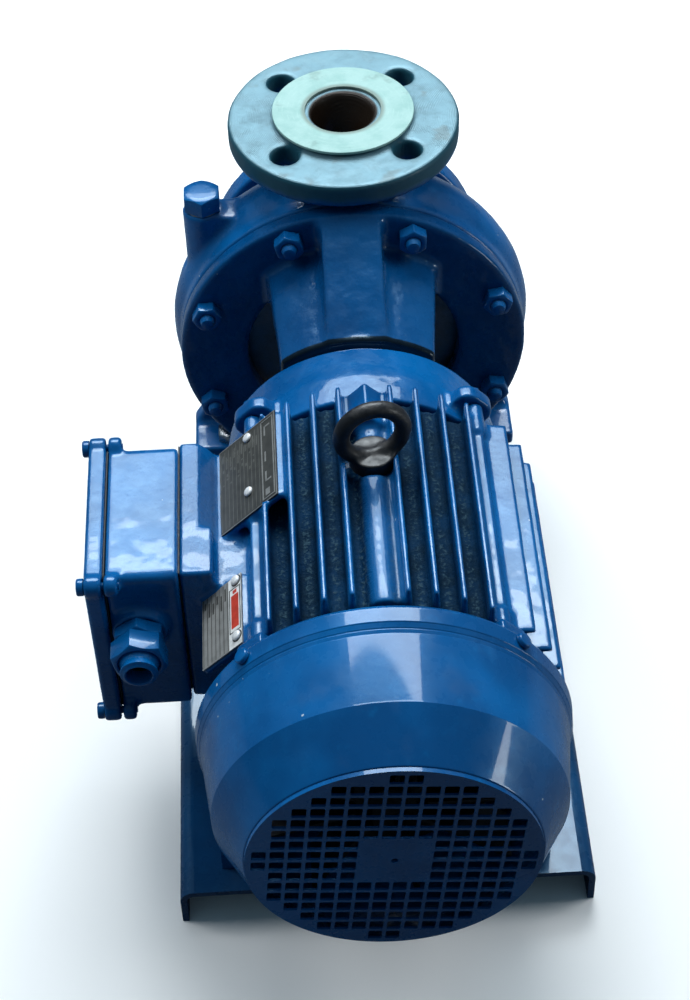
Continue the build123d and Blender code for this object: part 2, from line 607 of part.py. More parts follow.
CORNER_FIN_ROOT = chord(FRAME_RADIUS - 3, CORNER_FIN_X)
PEDESTAL_Y = (-268.0, -373.0)
PEDESTAL_Z = (-45.0, 66.0)
SHELF_Z = 55.0              # lower step of the pedestal next to the fins
with BuildPart() as motor_frame:
    ring(FRAME_BORE, FRAME_RADIUS, FRAME_FRONT, FRAME_REAR)
    # upright fins above and below, level fins on both sides
    with BuildSketch(across(FRAME_FRONT - 2)):
        for k in range(-4, 5):
            at = k * TOP_FIN_PITCH
            if k != 0:
                fin(at, chord(FIN_RADIUS, at), chord(FRAME_RADIUS - 3, at), False, 1)
        for k in range(-3, 4):
            at = k * TOP_FIN_PITCH
            fin(at, chord(98, at), chord(FRAME_RADIUS - 3, at), False, -1)
        for side in (-1, 1):
            fin(side * CORNER_FIN_X, CORNER_FIN_TOP, CORNER_FIN_ROOT, False, 1)
        for k in range(SIDE_FIN_COUNT):
            at = SIDE_FIN_FIRST + k * SIDE_FIN_PITCH
            root = chord(FRAME_RADIUS - 3, at)
            if at > CORNER_FIN_ROOT:
                root = CORNER_FIN_X
            fin(at, chord(SIDE_FIN_RADIUS, at), root, True, 1)
        # low cast ridges in the valleys
        for k in range(-4, 4):
            at = (k + 0.5) * TOP_FIN_PITCH
            floor = chord(FRAME_RADIUS, at)
            with Locations((at, floor)):
                Rectangle(RIDGE_WIDTH, 2 * RIDGE_HEIGHT)
    extrude(amount=FRAME_FRONT - FRAME_REAR - 4)
    # centre rib and boss for the eye bolt
    with BuildSketch(across(RIDGE_END)):
        with Locations((RIB_X, RIB_TOP - RIB_RADIUS)):
            Circle(RIB_RADIUS)
        with Locations((RIB_X, RIB_TOP - 12)):
            Rectangle(2 * RIB_RADIUS, 8)
    extrude(amount=RIDGE_END - FRAME_REAR - 2)
    with BuildSketch(across(FRAME_FRONT - 2)):
        Polygon((-12, 80), (-11, 93), (0.5, 105), (12, 94), (13, 80), align=None)
    extrude(amount=FRAME_FRONT - 2 - RIDGE_END)
    with BuildSketch(Plane.XY.offset(78)):
        with Locations((EYE_X, EYE_Y)):
            Circle(14.6)
    extrude(amount=EYE_SEAT_Z - 78)
    with Locations((EYE_X, EYE_Y, EYE_SEAT_Z)):
        Cylinder(14.6, 30, align=(Align.CENTER, Align.CENTER, Align.MIN), mode=Mode.SUBTRACT)
        Cylinder(5, 12.5, align=(Align.CENTER, Align.CENTER, Align.MAX), mode=Mode.SUBTRACT)
    with Locations(Location((EYE_X, EYE_Y, EYE_SEAT_Z), (0, 0, EYE_TURN))):
        Box(48, 12, 30, align=(Align.CENTER, Align.CENTER, Align.MIN), mode=Mode.SUBTRACT)
    # terminal box pedestal with its cable opening
    block((BOX_INNER_X, -92), PEDESTAL_Y, PEDESTAL_Z)
    block((-92, -CORNER_FIN_X), PEDESTAL_Y, (PEDESTAL_Z[0], SHELF_Z))
    block((BOX_INNER_X - 1, -70), (PEDESTAL_Y[0] - 12, PEDESTAL_Y[1] + 12),
          (PEDESTAL_Z[0] + 12, PEDESTAL_Z[1] - 12), mode=Mode.SUBTRACT)
    ring(0, FRAME_BORE, FRAME_FRONT, FRAME_REAR, mode=Mode.SUBTRACT)
    # pads for the two nameplates on the upper left side
    slanted = Plane(origin=(0, 0, 0), x_dir=(1, 0, 1), z_dir=(-1, 0, 1))
    with BuildSketch(slanted.offset(PLATE_DISTANCE - 4)):
        with Locations((1, -302)):
            Rectangle(50, 69)
        with Locations((-23.5, -399.5)):
            Rectangle(34, 52)
    extrude(amount=4)
    with BuildSketch(slanted.offset(FRAME_RADIUS - 4)):
        with Locations((0, -302)):
            Rectangle(10, 69)
        with Locations((-22, -399.5)):
            Rectangle(10, 52)
    extrude(amount=PLATE_DISTANCE - FRAME_RADIUS + 1)
    # room for the plates themselves above their pads
    with BuildSketch(slanted.offset(PLATE_DISTANCE)):
        with Locations((1, -302)):
            Rectangle(50, 69)
        with Locations((-23.5, -399.5)):
            Rectangle(34, 52)
    extrude(amount=30, mode=Mode.SUBTRACT)
    # bosses for the end shield screws
    round_bars(across(LUG_REAR), LUGS, SCREW_BOSS, LUG_REAR - FRAME_FRONT + 14)
    round_bars(across(FRAME_REAR), LUGS, SCREW_BOSS, -14)
    for face in (FRAME_FRONT, FRAME_REAR + 14):
        with BuildSketch(across(face)):
            with PolarLocations(LUG_CIRCLE - 7, 4, 45):
                Rectangle(14, 2 * SCREW_BOSS)
        extrude(amount=14)
    round_bars(across(LUG_REAR), LUGS, 3, 23, mode=Mode.SUBTRACT)
    round_bars(across(FRAME_REAR), LUGS, 3, -14, mode=Mode.SUBTRACT)
    # feet: two pads on gusseted legs
    for side in (-1, 1):
        block((side * 58, side * 100), (FRAME_FRONT, FRAME_REAR), (MOTOR_FOOT_Z, MOTOR_FOOT_Z + 11))
        for y in (-296.0, -382.0):
            with BuildSketch(across(y)):
                with BuildLine():
                    Polyline((side * 56, -60), (side * 80, -20), (side * 92, -62), (side * 98, -90),
                             (side * 58, -90), close=True)
                make_face()
            extrude(amount=12)
    ring(0, FRAME_BORE, FRAME_FRONT, FRAME_REAR, mode=Mode.SUBTRACT)
    with BuildSketch(Plane.XY.offset(MOTOR_FOOT_Z)):
        with Locations(*[(x, y) for x in (-FOOT_SPREAD, FOOT_SPREAD) for y in FOOT_BOLTS_Y]):
            Circle(6)
    extrude(amount=11, mode=Mode.SUBTRACT)
save(motor_frame, "motor_frame")

SLOT_COUNT = 24
with BuildPart() as stator_core:
    ring(50.4, FRAME_BORE, -275, -395)
    with BuildSketch(across(-275)):
        with PolarLocations(59, SLOT_COUNT):
            RectangleRounded(15, 7, 3)
    extrude(amount=120, mode=Mode.SUBTRACT)
save(stator_core, "stator_core")

with BuildPart() as stator_windings:
    with BuildSketch(across(-271)):
        with PolarLocations(59, SLOT_COUNT):
            RectangleRounded(14.8, 6.8, 2.9)
    extrude(amount=128)
    for near, far in ((-256, -274), (-396, -411)):
        turned((53, near), (68, near), (71, (near + far) / 2), (68, far), (53, far), (51.6, (near + far) / 2))
save(stator_windings, "stator_windings")

with BuildPart() as rear_end_shield:
    turned((BEARING_RADIUS, REAR_BEARING_Y), (39, REAR_BEARING_Y), (39, FRAME_REAR), (70, FRAME_REAR),
           (72, FRAME_REAR + 5), (FRAME_BORE, FRAME_REAR + 5), (FRAME_BORE, FRAME_REAR),
           (SHIELD_RADIUS, FRAME_REAR), (SHIELD_RADIUS, -446), (84, -446), (78, -436), (17, -436),
           (17, -431.5), (BEARING_RADIUS, -431.5))
    with BuildSketch(across(FRAME_REAR)):
        with PolarLocations(91, 4, 45):
            Rectangle(24, 20)
    extrude(amount=18)
    round_bars(across(FRAME_REAR - 18), LUGS, 3.4, -18, mode=Mode.SUBTRACT)
    for spot in circle_spots(1, 4, 45):
        outward = Plane(origin=(0, COWL_SCREW_Y, 0), z_dir=(spot[0], 0, spot[1]))
        with BuildSketch(outward.offset(97.5)):
            Circle(2)
        extrude(amount=12, mode=Mode.SUBTRACT)
save(rear_end_shield, "rear_end_shield")

with BuildPart() as end_shield_screws:
    hex_bars(across(LUG_FRONT), LUGS, 10, -4)
    round_bars(across(LUG_FRONT), LUGS, 3, 30)
    hex_bars(across(FRAME_REAR - 18), LUGS, 10, 4)
    round_bars(across(FRAME_REAR - 18), LUGS, 3, -30)
save(end_shield_screws, "end_shield_screws")


def grille_spots():
    """Centres of the air holes: a round field of square holes with a blank middle."""
    spots = []
    for column in range(16):
        for row in range(16):
            u = column - 7.5
            v = row - 7.5
            if u * u + v * v < 57.5 and max(abs(u), abs(v)) > 2:
                spots.append((u * GRILLE_PITCH, v * GRILLE_PITCH))
    return spots


with BuildPart() as fan_cowl:
    inner_end = COWL_END + COWL_SHEET
    turned((COWL_RIM_RADIUS, COWL_FRONT), (COWL_RIM_RADIUS, -450), (COWL_RADIUS, -453),
           (COWL_EDGE_RADIUS, COWL_EDGE_Y), (COWL_END_RADIUS, COWL_END), (0, COWL_END), (0, inner_end),
           (COWL_END_RADIUS - 0.9, inner_end), (COWL_EDGE_RADIUS - COWL_SHEET, COWL_EDGE_Y + 0.6),
           (COWL_RADIUS - COWL_SHEET, -453), (COWL_RIM_RADIUS - COWL_SHEET, -450.4),
           (COWL_RIM_RADIUS - COWL_SHEET, COWL_FRONT))
    tilt = radians(GRILLE_TILT)
    tilted = Plane(origin=(0, inner_end, 0), x_dir=(cos(tilt), 0, -sin(tilt)), z_dir=(0, -1, 0))
    with BuildSketch(tilted):
        with Locations(*grille_spots()):
            Rectangle(GRILLE_HOLE, GRILLE_HOLE)
        Circle(2)
    extrude(amount=COWL_SHEET, mode=Mode.SUBTRACT)
    for spot in circle_spots(1, 4, 45):
        outward = Plane(origin=(0, COWL_SCREW_Y, 0), z_dir=(spot[0], 0, spot[1]))
        with BuildSketch(outward.offset(100)):
            Circle(2.5)
        extrude(amount=10, mode=Mode.SUBTRACT)
save(fan_cowl, "fan_cowl")

with BuildPart() as cowl_screws:
    for spot in circle_spots(1, 4, 45):
        outward = Plane(origin=(0, COWL_SCREW_Y, 0), z_dir=(spot[0], 0, spot[1]))
        with BuildSketch(outward.offset(COWL_RIM_RADIUS)):
            Circle(4.5)
        extrude(amount=2.6)
        with BuildSketch(outward.offset(COWL_RIM_RADIUS)):
            Circle(2)
        extrude(amount=-9)
save(cowl_screws, "cowl_screws")

EYE_RING = 18.2
EYE_WIRE = 5.0
EYE_COLLAR = 9.0
EYE_CENTRE_Z = EYE_SEAT_Z + 23.5
with BuildPart() as eye_bolt:
    with Locations(Location((EYE_X, EYE_Y, EYE_CENTRE_Z), (90, EYE_TURN, 0))):
        Torus(EYE_RING, EYE_WIRE)
    with Locations((EYE_X, EYE_Y, EYE_SEAT_Z)):
        Cone(13.8, 13, EYE_COLLAR, align=(Align.CENTER, Align.CENTER, Align.MIN))
        Cylinder(5, 12, align=(Align.CENTER, Align.CENTER, Align.MAX))
save(eye_bolt, "eye_bolt")

# ================================================================ terminal box
BOX_Y_LIMITS = (BOX_Y - BOX_LENGTH / 2, BOX_Y + BOX_LENGTH / 2)
BOX_Z_LIMITS = (BOX_Z - BOX_HEIGHT / 2, BOX_Z + BOX_HEIGHT / 2)
BOX_SCREW_RADIUS = 2.4
BOX_EAR = 6.4
EAR_LENGTH = 8.0
BOX_SCREWS = [(y, z) for y in (BOX_Y - 54.6, BOX_Y + 54.6) for z in (BOX_Z - 56.2, BOX_Z + 56.2)]
GLAND_PLANE = across(BOX_Y_LIMITS[0])
SIDE_PLANE = Plane(origin=(0, 0, 0), x_dir=(0, -1, 0), z_dir=(-1, 0, 0))


def on_side(spots):
    """Spots on the side plane, whose local x runs towards the fan, from (y, z) pairs."""
    return [(-y, z) for y, z in spots]


with BuildPart() as pedestal_gasket:
    block((BOX_INNER_X - 0.8, BOX_INNER_X), (PEDESTAL_Y[0] - 2, PEDESTAL_Y[1] + 2), (PEDESTAL_Z[0] + 5, PEDESTAL_Z[1] - 1))
    block((BOX_INNER_X - 1, BOX_INNER_X + 1), (PEDESTAL_Y[0] - 12, PEDESTAL_Y[1] + 12),
          (PEDESTAL_Z[0] + 12, PEDESTAL_Z[1] - 12), mode=Mode.SUBTRACT)
save(pedestal_gasket, "pedestal_gasket")

BOX_FLOOR_X = BOX_INNER_X - 0.8
with BuildPart() as terminal_box:
    with BuildSketch(SIDE_PLANE.offset(-BOX_FLOOR_X)):
        with Locations((-BOX_Y, BOX_Z)):
            RectangleRounded(BOX_LENGTH, BOX_HEIGHT, 5)
    extrude(amount=BOX_FLOOR_X - BOX_OUTER_X)
    with BuildSketch(SIDE_PLANE.offset(-BOX_FLOOR_X + BOX_WALL)):
        with Locations((-BOX_Y, BOX_Z)):
            RectangleRounded(BOX_LENGTH - 2 * BOX_WALL, BOX_HEIGHT - 2 * BOX_WALL, 3)
    extrude(amount=60, mode=Mode.SUBTRACT)
    block((BOX_FLOOR_X - 5, BOX_FLOOR_X + 1), (BOX_Y - 34, BOX_Y + 34), (BOX_Z - 30, BOX_Z + 30), mode=Mode.SUBTRACT)
    # corner ears for the cover screws
    with BuildSketch(SIDE_PLANE.offset(-BOX_OUTER_X - EAR_LENGTH)):
        with Locations(*on_side(BOX_SCREWS)):
            Circle(BOX_EAR)
        with Locations((-BOX_Y, BOX_Z)):
            Rectangle(BOX_LENGTH - 1, BOX_HEIGHT - 1, mode=Mode.SUBTRACT)
    extrude(amount=EAR_LENGTH)
    with BuildSketch(SIDE_PLANE.offset(-BOX_OUTER_X)):
        with Locations(*on_side(BOX_SCREWS)):
            Circle(BOX_SCREW_RADIUS)
    extrude(amount=-10, mode=Mode.SUBTRACT)
    # gland boss and its threaded hole
    with BuildSketch(GLAND_PLANE):
        with Locations((GLAND_X, GLAND_Z)):
            Circle(16)
    extrude(amount=GLAND_BOSS)
    round_bars(across(BOX_Y_LIMITS[0] - GLAND_BOSS), [(GLAND_X, GLAND_Z)], 12.5, -14, mode=Mode.SUBTRACT)
save(terminal_box, "terminal_box")

COVER_INNER_X = BOX_OUTER_X - 1.0
with BuildPart() as cover_gasket:
    with BuildSketch(SIDE_PLANE.offset(-BOX_OUTER_X)):
        with Locations((-BOX_Y, BOX_Z)):
            RectangleRounded(BOX_LENGTH, BOX_HEIGHT, 5)
            RectangleRounded(BOX_LENGTH - 2 * BOX_WALL, BOX_HEIGHT - 2 * BOX_WALL, 3, mode=Mode.SUBTRACT)
    extrude(amount=1)
save(cover_gasket, "cover_gasket")

with BuildPart() as terminal_box_cover:
    with BuildSketch(SIDE_PLANE.offset(-COVER_INNER_X)):
        with Locations((-BOX_Y, BOX_Z)):
            RectangleRounded(COVER_LENGTH - 6, COVER_HEIGHT - 4, 7)
        with Locations(*on_side(BOX_SCREWS)):
            Circle(BOX_EAR)
    extrude(amount=COVER_INNER_X - COVER_OUTER_X)
    with BuildSketch(SIDE_PLANE.offset(-COVER_INNER_X)):
        with Locations((-BOX_Y, BOX_Z)):
            RectangleRounded(BOX_LENGTH - 2 * BOX_WALL, BOX_HEIGHT - 2 * BOX_WALL, 3)
    extrude(amount=6, mode=Mode.SUBTRACT)
    with BuildSketch(SIDE_PLANE.offset(-COVER_INNER_X)):
        with Locations(*on_side(BOX_SCREWS)):
            Circle(BOX_SCREW_RADIUS + 0.3)
    extrude(amount=12, mode=Mode.SUBTRACT)
save(terminal_box_cover, "terminal_box_cover")

with BuildPart() as cover_screws:
    with BuildSketch(SIDE_PLANE.offset(-COVER_OUTER_X)):
        with Locations(*on_side(BOX_SCREWS)):
            Circle(5)
    extrude(amount=4)
    with BuildSketch(SIDE_PLANE.offset(-COVER_OUTER_X)):
        with Locations(*on_side(BOX_SCREWS)):
            Circle(BOX_SCREW_RADIUS)
    extrude(amount=-20)
    with BuildSketch(SIDE_PLANE.offset(-COVER_OUTER_X + 4)):
        with Locations(*on_side(BOX_SCREWS)):
            Rectangle(1.2, 8)
    extrude(amount=-1.6, mode=Mode.SUBTRACT)
save(cover_screws, "cover_screws")

BOARD_X = BOX_FLOOR_X - BOX_WALL
TERMINALS = [(BOX_Y + dy, BOX_Z + dz) for dy in (-20, 0, 20) for dz in (-10, 10)]
with BuildPart() as terminal_board:
    block((BOARD_X - 8, BOARD_X), (BOX_Y - 38, BOX_Y + 38), (BOX_Z - 34, BOX_Z + 34))
    with BuildSketch(SIDE_PLANE.offset(-BOARD_X + 8)):
        with Locations(*on_side(TERMINALS)):
            Circle(2.5)
    extrude(amount=-8, mode=Mode.SUBTRACT)
save(terminal_board, "terminal_board")

with BuildPart() as terminal_studs:
    with BuildSketch(SIDE_PLANE.offset(-BOARD_X)):
        with Locations(*on_side(TERMINALS)):
            Circle(2.5)
    extrude(amount=24)
    with BuildSketch(SIDE_PLANE.offset(-BOARD_X + 8)):
        with Locations(*on_side(TERMINALS)):
            RegularPolygon(4.5, 6, major_radius=False)
    extrude(amount=4)
save(terminal_studs, "terminal_studs")

GLAND_SPOT = [(GLAND_X, GLAND_Z)]
BOSS_FACE_Y = BOX_Y_LIMITS[0] - GLAND_BOSS
with BuildPart() as cable_gland:
    hex_bars(across(BOSS_FACE_Y), GLAND_SPOT, 27, 8)
    round_bars(across(BOSS_FACE_Y), GLAND_SPOT, 12.5, -12)
    round_bars(across(BOSS_FACE_Y), GLAND_SPOT, 12.2, 20)
    round_bars(across(BOSS_FACE_Y + 13), GLAND_SPOT, 9.5, 40, mode=Mode.SUBTRACT)
save(cable_gland, "cable_gland")

with BuildPart() as gland_seal:
    round_bars(across(BOSS_FACE_Y - 6), GLAND_SPOT, 9.5, 15)
    round_bars(across(BOSS_FACE_Y - 6), GLAND_SPOT, 6.5, 15, mode=Mode.SUBTRACT)
save(gland_seal, "gland_seal")

with BuildPart() as gland_nut:
    hex_bars(across(BOSS_FACE_Y - 9), GLAND_SPOT, GLAND_NUT_FLATS, 13)
    with Locations(Location((GLAND_X, BOSS_FACE_Y - 22, GLAND_Z), (90, 0, 0))):
        Cone(14.2, 11, 8.5, align=(Align.CENTER, Align.CENTER, Align.MIN))
    round_bars(across(BOSS_FACE_Y - 9), GLAND_SPOT, 12.2, 13.5, mode=Mode.SUBTRACT)
    round_bars(across(BOSS_FACE_Y - 9), GLAND_SPOT, 7.5, 30, mode=Mode.SUBTRACT)
save(gland_nut, "gland_nut")

# ================================================================ nameplates
MOTOR_PLATE_RIVETS = [(2, -274), (2, -318)]
PUMP_PLATE_RIVETS = [(-11, -377.6), (-11, -418)]
PUMP_PLATE_SPARE_HOLE = (-36, -421)
with BuildPart() as motor_nameplate:
    with BuildSketch(slanted.offset(PLATE_DISTANCE)):
        with Locations((1, -302)):
            RectangleRounded(49, 68, 2)
    extrude(amount=1)
    with BuildSketch(slanted.offset(PLATE_DISTANCE)):
        with Locations(*MOTOR_PLATE_RIVETS):
            Circle(1.6)
    extrude(amount=1, mode=Mode.SUBTRACT)
save(motor_nameplate, "motor_nameplate")

with BuildPart() as pump_nameplate:
    with BuildSketch(slanted.offset(PLATE_DISTANCE)):
        with Locations((-23.5, -399.5)):
            RectangleRounded(33, 51, 2)
    extrude(amount=1)
    with BuildSketch(slanted.offset(PLATE_DISTANCE)):
        with Locations(*PUMP_PLATE_RIVETS, PUMP_PLATE_SPARE_HOLE):
            Circle(1.6)
    extrude(amount=1, mode=Mode.SUBTRACT)
save(pump_nameplate, "pump_nameplate")

with BuildPart() as nameplate_rivets:
    with BuildSketch(slanted.offset(PLATE_DISTANCE)):
        with Locations(*MOTOR_PLATE_RIVETS, *PUMP_PLATE_RIVETS):
            Circle(1.6)
    extrude(amount=1)
    with BuildSketch(slanted.offset(PLATE_DISTANCE + 1)):
        with Locations(*MOTOR_PLATE_RIVETS, *PUMP_PLATE_RIVETS):
            Circle(2.8)
    extrude(amount=1.2, taper=25)
save(nameplate_rivets, "nameplate_rivets")

# ================================================================ base
with BuildPart() as packing_bars:
    for side in (-1, 1):
        block((side * 60, side * 100), (-246, -444), (-SHAFT_HEIGHT, MOTOR_FOOT_Z))
    with BuildSketch(Plane.XY.offset(-SHAFT_HEIGHT)):
        with Locations(*[(x, y) for x in (-FOOT_SPREAD, FOOT_SPREAD) for y in FOOT_BOLTS_Y]):
            Circle(6)
    extrude(amount=SHAFT_HEIGHT + MOTOR_FOOT_Z, mode=Mode.SUBTRACT)
save(packing_bars, "packing_bars")

with BuildPart() as motor_foot_bolts:
    spots = [(x, y) for x in (-FOOT_SPREAD, FOOT_SPREAD) for y in FOOT_BOLTS_Y]
    hex_screws(Plane.XY.offset(MOTOR_FOOT_Z + 11), spots, 5, 52, 16, 6.4)
    hex_bars(Plane.XY.offset(-SHAFT_HEIGHT - BASE_SHEET), spots, 16, -8)
save(motor_foot_bolts, "motor_foot_bolts")

def channel(half_width, front, rear):
    """Sheet channel with folded legs: a flat top at foot height between two y positions."""
    inside = half_width - BASE_SHEET
    underside = -SHAFT_HEIGHT - BASE_SHEET
    floor = -SHAFT_HEIGHT - BASE_LEG
    with BuildSketch(across(front)) as section:
        with BuildLine():
            outer = FilletPolyline((-half_width, floor), (-half_width, -SHAFT_HEIGHT),
                                   (half_width, -SHAFT_HEIGHT), (half_width, floor), radius=BASE_BEND)
            inner = FilletPolyline((-inside, floor), (-inside, underside), (inside, underside), (inside, floor),
                                   radius=BASE_BEND - BASE_SHEET)
            Line(outer @ 0, inner @ 0)
            Line(outer @ 1, inner @ 1)
        make_face()
    extrude(section.sketch, amount=front - rear)


with BuildPart() as base_frame:
    channel(BASE_HALF_WIDTH, BASE_STEP, BASE_REAR)
    channel(BASE_FRONT_HALF_WIDTH, BASE_FRONT, BASE_STEP)
    with BuildSketch(Plane.XY.offset(-SHAFT_HEIGHT)):
        with Locations(*[(x, y) for x in (-FOOT_SPREAD, FOOT_SPREAD) for y in FOOT_BOLTS_Y]):
            Circle(6)
        with Locations((-PUMP_FOOT_X, PUMP_FOOT_Y - 8), (PUMP_FOOT_X, PUMP_FOOT_Y - 8)):
            Circle(7)
    extrude(amount=-BASE_SHEET, mode=Mode.SUBTRACT)
save(base_frame, "base_frame")
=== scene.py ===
"""Looks of the close-coupled water pump: castings, fittings, enamel, light and camera."""

import json
import math

import bmesh
import bpy
from mathutils import Matrix, Vector

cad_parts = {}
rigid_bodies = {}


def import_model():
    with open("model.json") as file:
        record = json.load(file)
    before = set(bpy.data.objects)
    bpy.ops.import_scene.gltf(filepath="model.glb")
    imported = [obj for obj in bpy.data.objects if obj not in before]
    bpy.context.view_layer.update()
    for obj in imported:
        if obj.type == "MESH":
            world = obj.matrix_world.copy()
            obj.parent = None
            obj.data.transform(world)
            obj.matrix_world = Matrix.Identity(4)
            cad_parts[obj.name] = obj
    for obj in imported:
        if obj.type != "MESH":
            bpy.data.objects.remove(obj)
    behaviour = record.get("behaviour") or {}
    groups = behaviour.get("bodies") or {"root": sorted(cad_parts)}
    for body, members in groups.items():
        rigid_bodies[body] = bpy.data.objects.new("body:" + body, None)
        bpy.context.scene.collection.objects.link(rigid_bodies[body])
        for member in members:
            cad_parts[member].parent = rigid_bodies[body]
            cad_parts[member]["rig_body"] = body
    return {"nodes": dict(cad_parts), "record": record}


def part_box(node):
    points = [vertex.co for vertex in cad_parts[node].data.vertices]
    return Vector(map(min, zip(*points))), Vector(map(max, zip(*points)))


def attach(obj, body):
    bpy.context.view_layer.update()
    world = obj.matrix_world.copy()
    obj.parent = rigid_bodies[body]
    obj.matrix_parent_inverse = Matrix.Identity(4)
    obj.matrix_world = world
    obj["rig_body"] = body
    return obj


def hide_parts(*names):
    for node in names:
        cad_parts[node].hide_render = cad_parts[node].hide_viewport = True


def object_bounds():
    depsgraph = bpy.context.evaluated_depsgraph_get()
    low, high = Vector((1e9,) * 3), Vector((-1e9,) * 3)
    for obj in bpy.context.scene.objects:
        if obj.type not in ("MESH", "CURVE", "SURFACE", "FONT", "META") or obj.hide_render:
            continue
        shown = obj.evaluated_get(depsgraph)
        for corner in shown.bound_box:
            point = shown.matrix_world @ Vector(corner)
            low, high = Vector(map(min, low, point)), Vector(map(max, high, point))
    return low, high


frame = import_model()
CAD_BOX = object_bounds()
NODES = frame["nodes"]
MM = 0.001
SLOT_OF = {row["node"]: row["material_slot"] for row in frame["record"]["subparts"]}
BODY_OF = {name: obj["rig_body"] for name, obj in NODES.items()}
TOWARDS_FAN = Vector((0, -1, 0))
UP = Vector((0, 0, 1))
OUT_OF_BOX = Vector((-1, 0, 0))
DISCHARGE_Y = -0.048
FLANGE_UNDERSIDE = 0.121


# ------------------------------------------------------------------ material tools
class Look:
    """A node material under construction; textures are placed by the part's own coordinates."""

    def __init__(self, name):
        self.material = bpy.data.materials.new(name)
        self.material.use_nodes = True
        self.tree = self.material.node_tree
        self.tree.nodes.clear()
        self.output = self.node("OutputMaterial")
        self.surface = self.node("BsdfPrincipled")
        self.link(self.surface.outputs[0], self.output.inputs[0])
        self.place = self.node("TexCoord").outputs["Object"]

    def node(self, kind, **settings):
        made = self.tree.nodes.new("ShaderNode" + kind)
        for key, value in settings.items():
            setattr(made, key, value)
        return made

    def link(self, source, target):
        """Joins an output, a number or a colour to an input."""
        if isinstance(source, (int, float)):
            target.default_value = source
        elif isinstance(source, tuple):
            target.default_value = (*source, 1.0)[: len(target.default_value)]
        else:
            self.tree.links.new(source, target)

    def set(self, **inputs):
        """Sets inputs of the surface shader; underscores stand for spaces."""
        for key, value in inputs.items():
            self.link(value, self.surface.inputs[key.replace("_", " ")])

    def noise(self, scale, detail=3.0, rough=0.5, place=None):
        texture = self.node("TexNoise")
        self.link(self.place if place is None else place, texture.inputs["Vector"])
        texture.inputs["Scale"].default_value = scale
        texture.inputs["Detail"].default_value = detail
        texture.inputs["Roughness"].default_value = rough
        return texture.outputs["Fac"]

    def ramp(self, value, low, high, a=0.0, b=1.0):
        """Maps value from low..high to a..b, smoothly and clamped."""
        mapped = self.node("MapRange", interpolation_type="SMOOTHSTEP")
        for key, source in enumerate((value, low, high, a, b)):
            self.link(source, mapped.inputs[key])
        return mapped.outputs[0]

    def math(self, operation, a, b=0.0):
        made = self.node("Math", operation=operation)
        self.link(a, made.inputs[0])
        self.link(b, made.inputs[1])
        return made.outputs[0]

    def times(self, *factors):
        """Product of numbers."""
        result = factors[0]
        for factor in factors[1:]:
            result = self.math("MULTIPLY", result, factor)
        return result

    def distance(self, a, b):
        """Length of the hypotenuse over a and b."""
        squares = [self.math("POWER", self.math("ABSOLUTE", side), 2) for side in (a, b)]
        return self.math("SQRT", self.math("ADD", *squares))

    def mix(self, amount, a, b):
        """Colour between a and b."""
        made = self.node("Mix", data_type="RGBA")
        self.link(amount, made.inputs[0])
        self.link(a, made.inputs[6])
        self.link(b, made.inputs[7])
        return made.outputs[2]

    def blend(self, amount, a, b):
        """Number between a and b."""
        made = self.node("Mix", data_type="FLOAT")
        for key, source in zip((0, 2, 3), (amount, a, b)):
            self.link(source, made.inputs[key])
        return made.outputs[0]

    def bump(self, height, depth, base=None):
        """Bump of the given depth in metres, on top of another normal when one is given."""
        made = self.node("Bump")
        made.inputs["Distance"].default_value = depth
        self.link(height, made.inputs["Height"])
        if base is not None:
            self.link(base, made.inputs["Normal"])
        return made.outputs[0]

    def axis(self, index, source=None):
        """One coordinate of the part's position, or of another vector."""
        split = self.node("SeparateXYZ")
        self.link(self.place if source is None else source, split.inputs[0])
        return split.outputs[index]

    def facing(self, index):
        """One component of the surface normal."""
        return self.axis(index, self.node("NewGeometry").outputs["Normal"])

    def stretched(self, x, y, z):
        """Coordinates scaled per axis, for brushed or streaked patterns."""
        made = self.node("Mapping")
        self.link(self.place, made.inputs[0])
        made.inputs["Scale"].default_value = (x, y, z)
        return made.outputs[0]

    def from_discharge(self):
        """Distance from the discharge axis, in metres."""
        return self.distance(self.axis(0), self.math("ADD", self.axis(1), -DISCHARGE_Y))

    def turning_marks(self, radius, pitch):
        """Fine concentric lines around the discharge axis."""
        rings = self.math("SINE", self.times(radius, 2 * math.pi / pitch))
        return self.times(rings, self.ramp(self.noise(120, 3), 0.35, 0.7))


# ------------------------------------------------------------------ enamel
ENAMEL_DEEP = (0.0008, 0.062, 0.205)
ENAMEL_MID = (0.0010, 0.098, 0.300)
ENAMEL_THIN = (0.003, 0.135, 0.36)
# Colour of painted shade, mixed into enamel that should look shadowed.
ENAMEL_SHADED = (0.0006, 0.024, 0.085)
ENAMEL_SHEEN = (0.40, 0.75, 1.0)
# Painted shade with grime for the valleys between the top fins.
VALLEY_SHADE_AND_GRIME = (0.002, 0.012, 0.026)
VALLEY_SPECK = (0.045, 0.095, 0.13)
# Painted shadow with grime for the band where the lantern meets the motor.
JOINT_SHADOW_AND_GRIME = (0.0008, 0.003, 0.007)
BASE_GRIME = (0.012, 0.026, 0.040)
PRIMER = (0.50, 0.55, 0.58)
DUST = (0.30, 0.36, 0.40)
FLANGE_BARE = (0.135, 0.245, 0.290)
# Painted shade for the bare flange's faces that do not face up.
FLANGE_SIDE_SHADE = (0.014, 0.070, 0.100)
FLANGE_RINGS = (0.30, 0.42, 0.46)
FLANGE_RUST = (0.08, 0.06, 0.035)
RUST = (0.012, 0.007, 0.004)


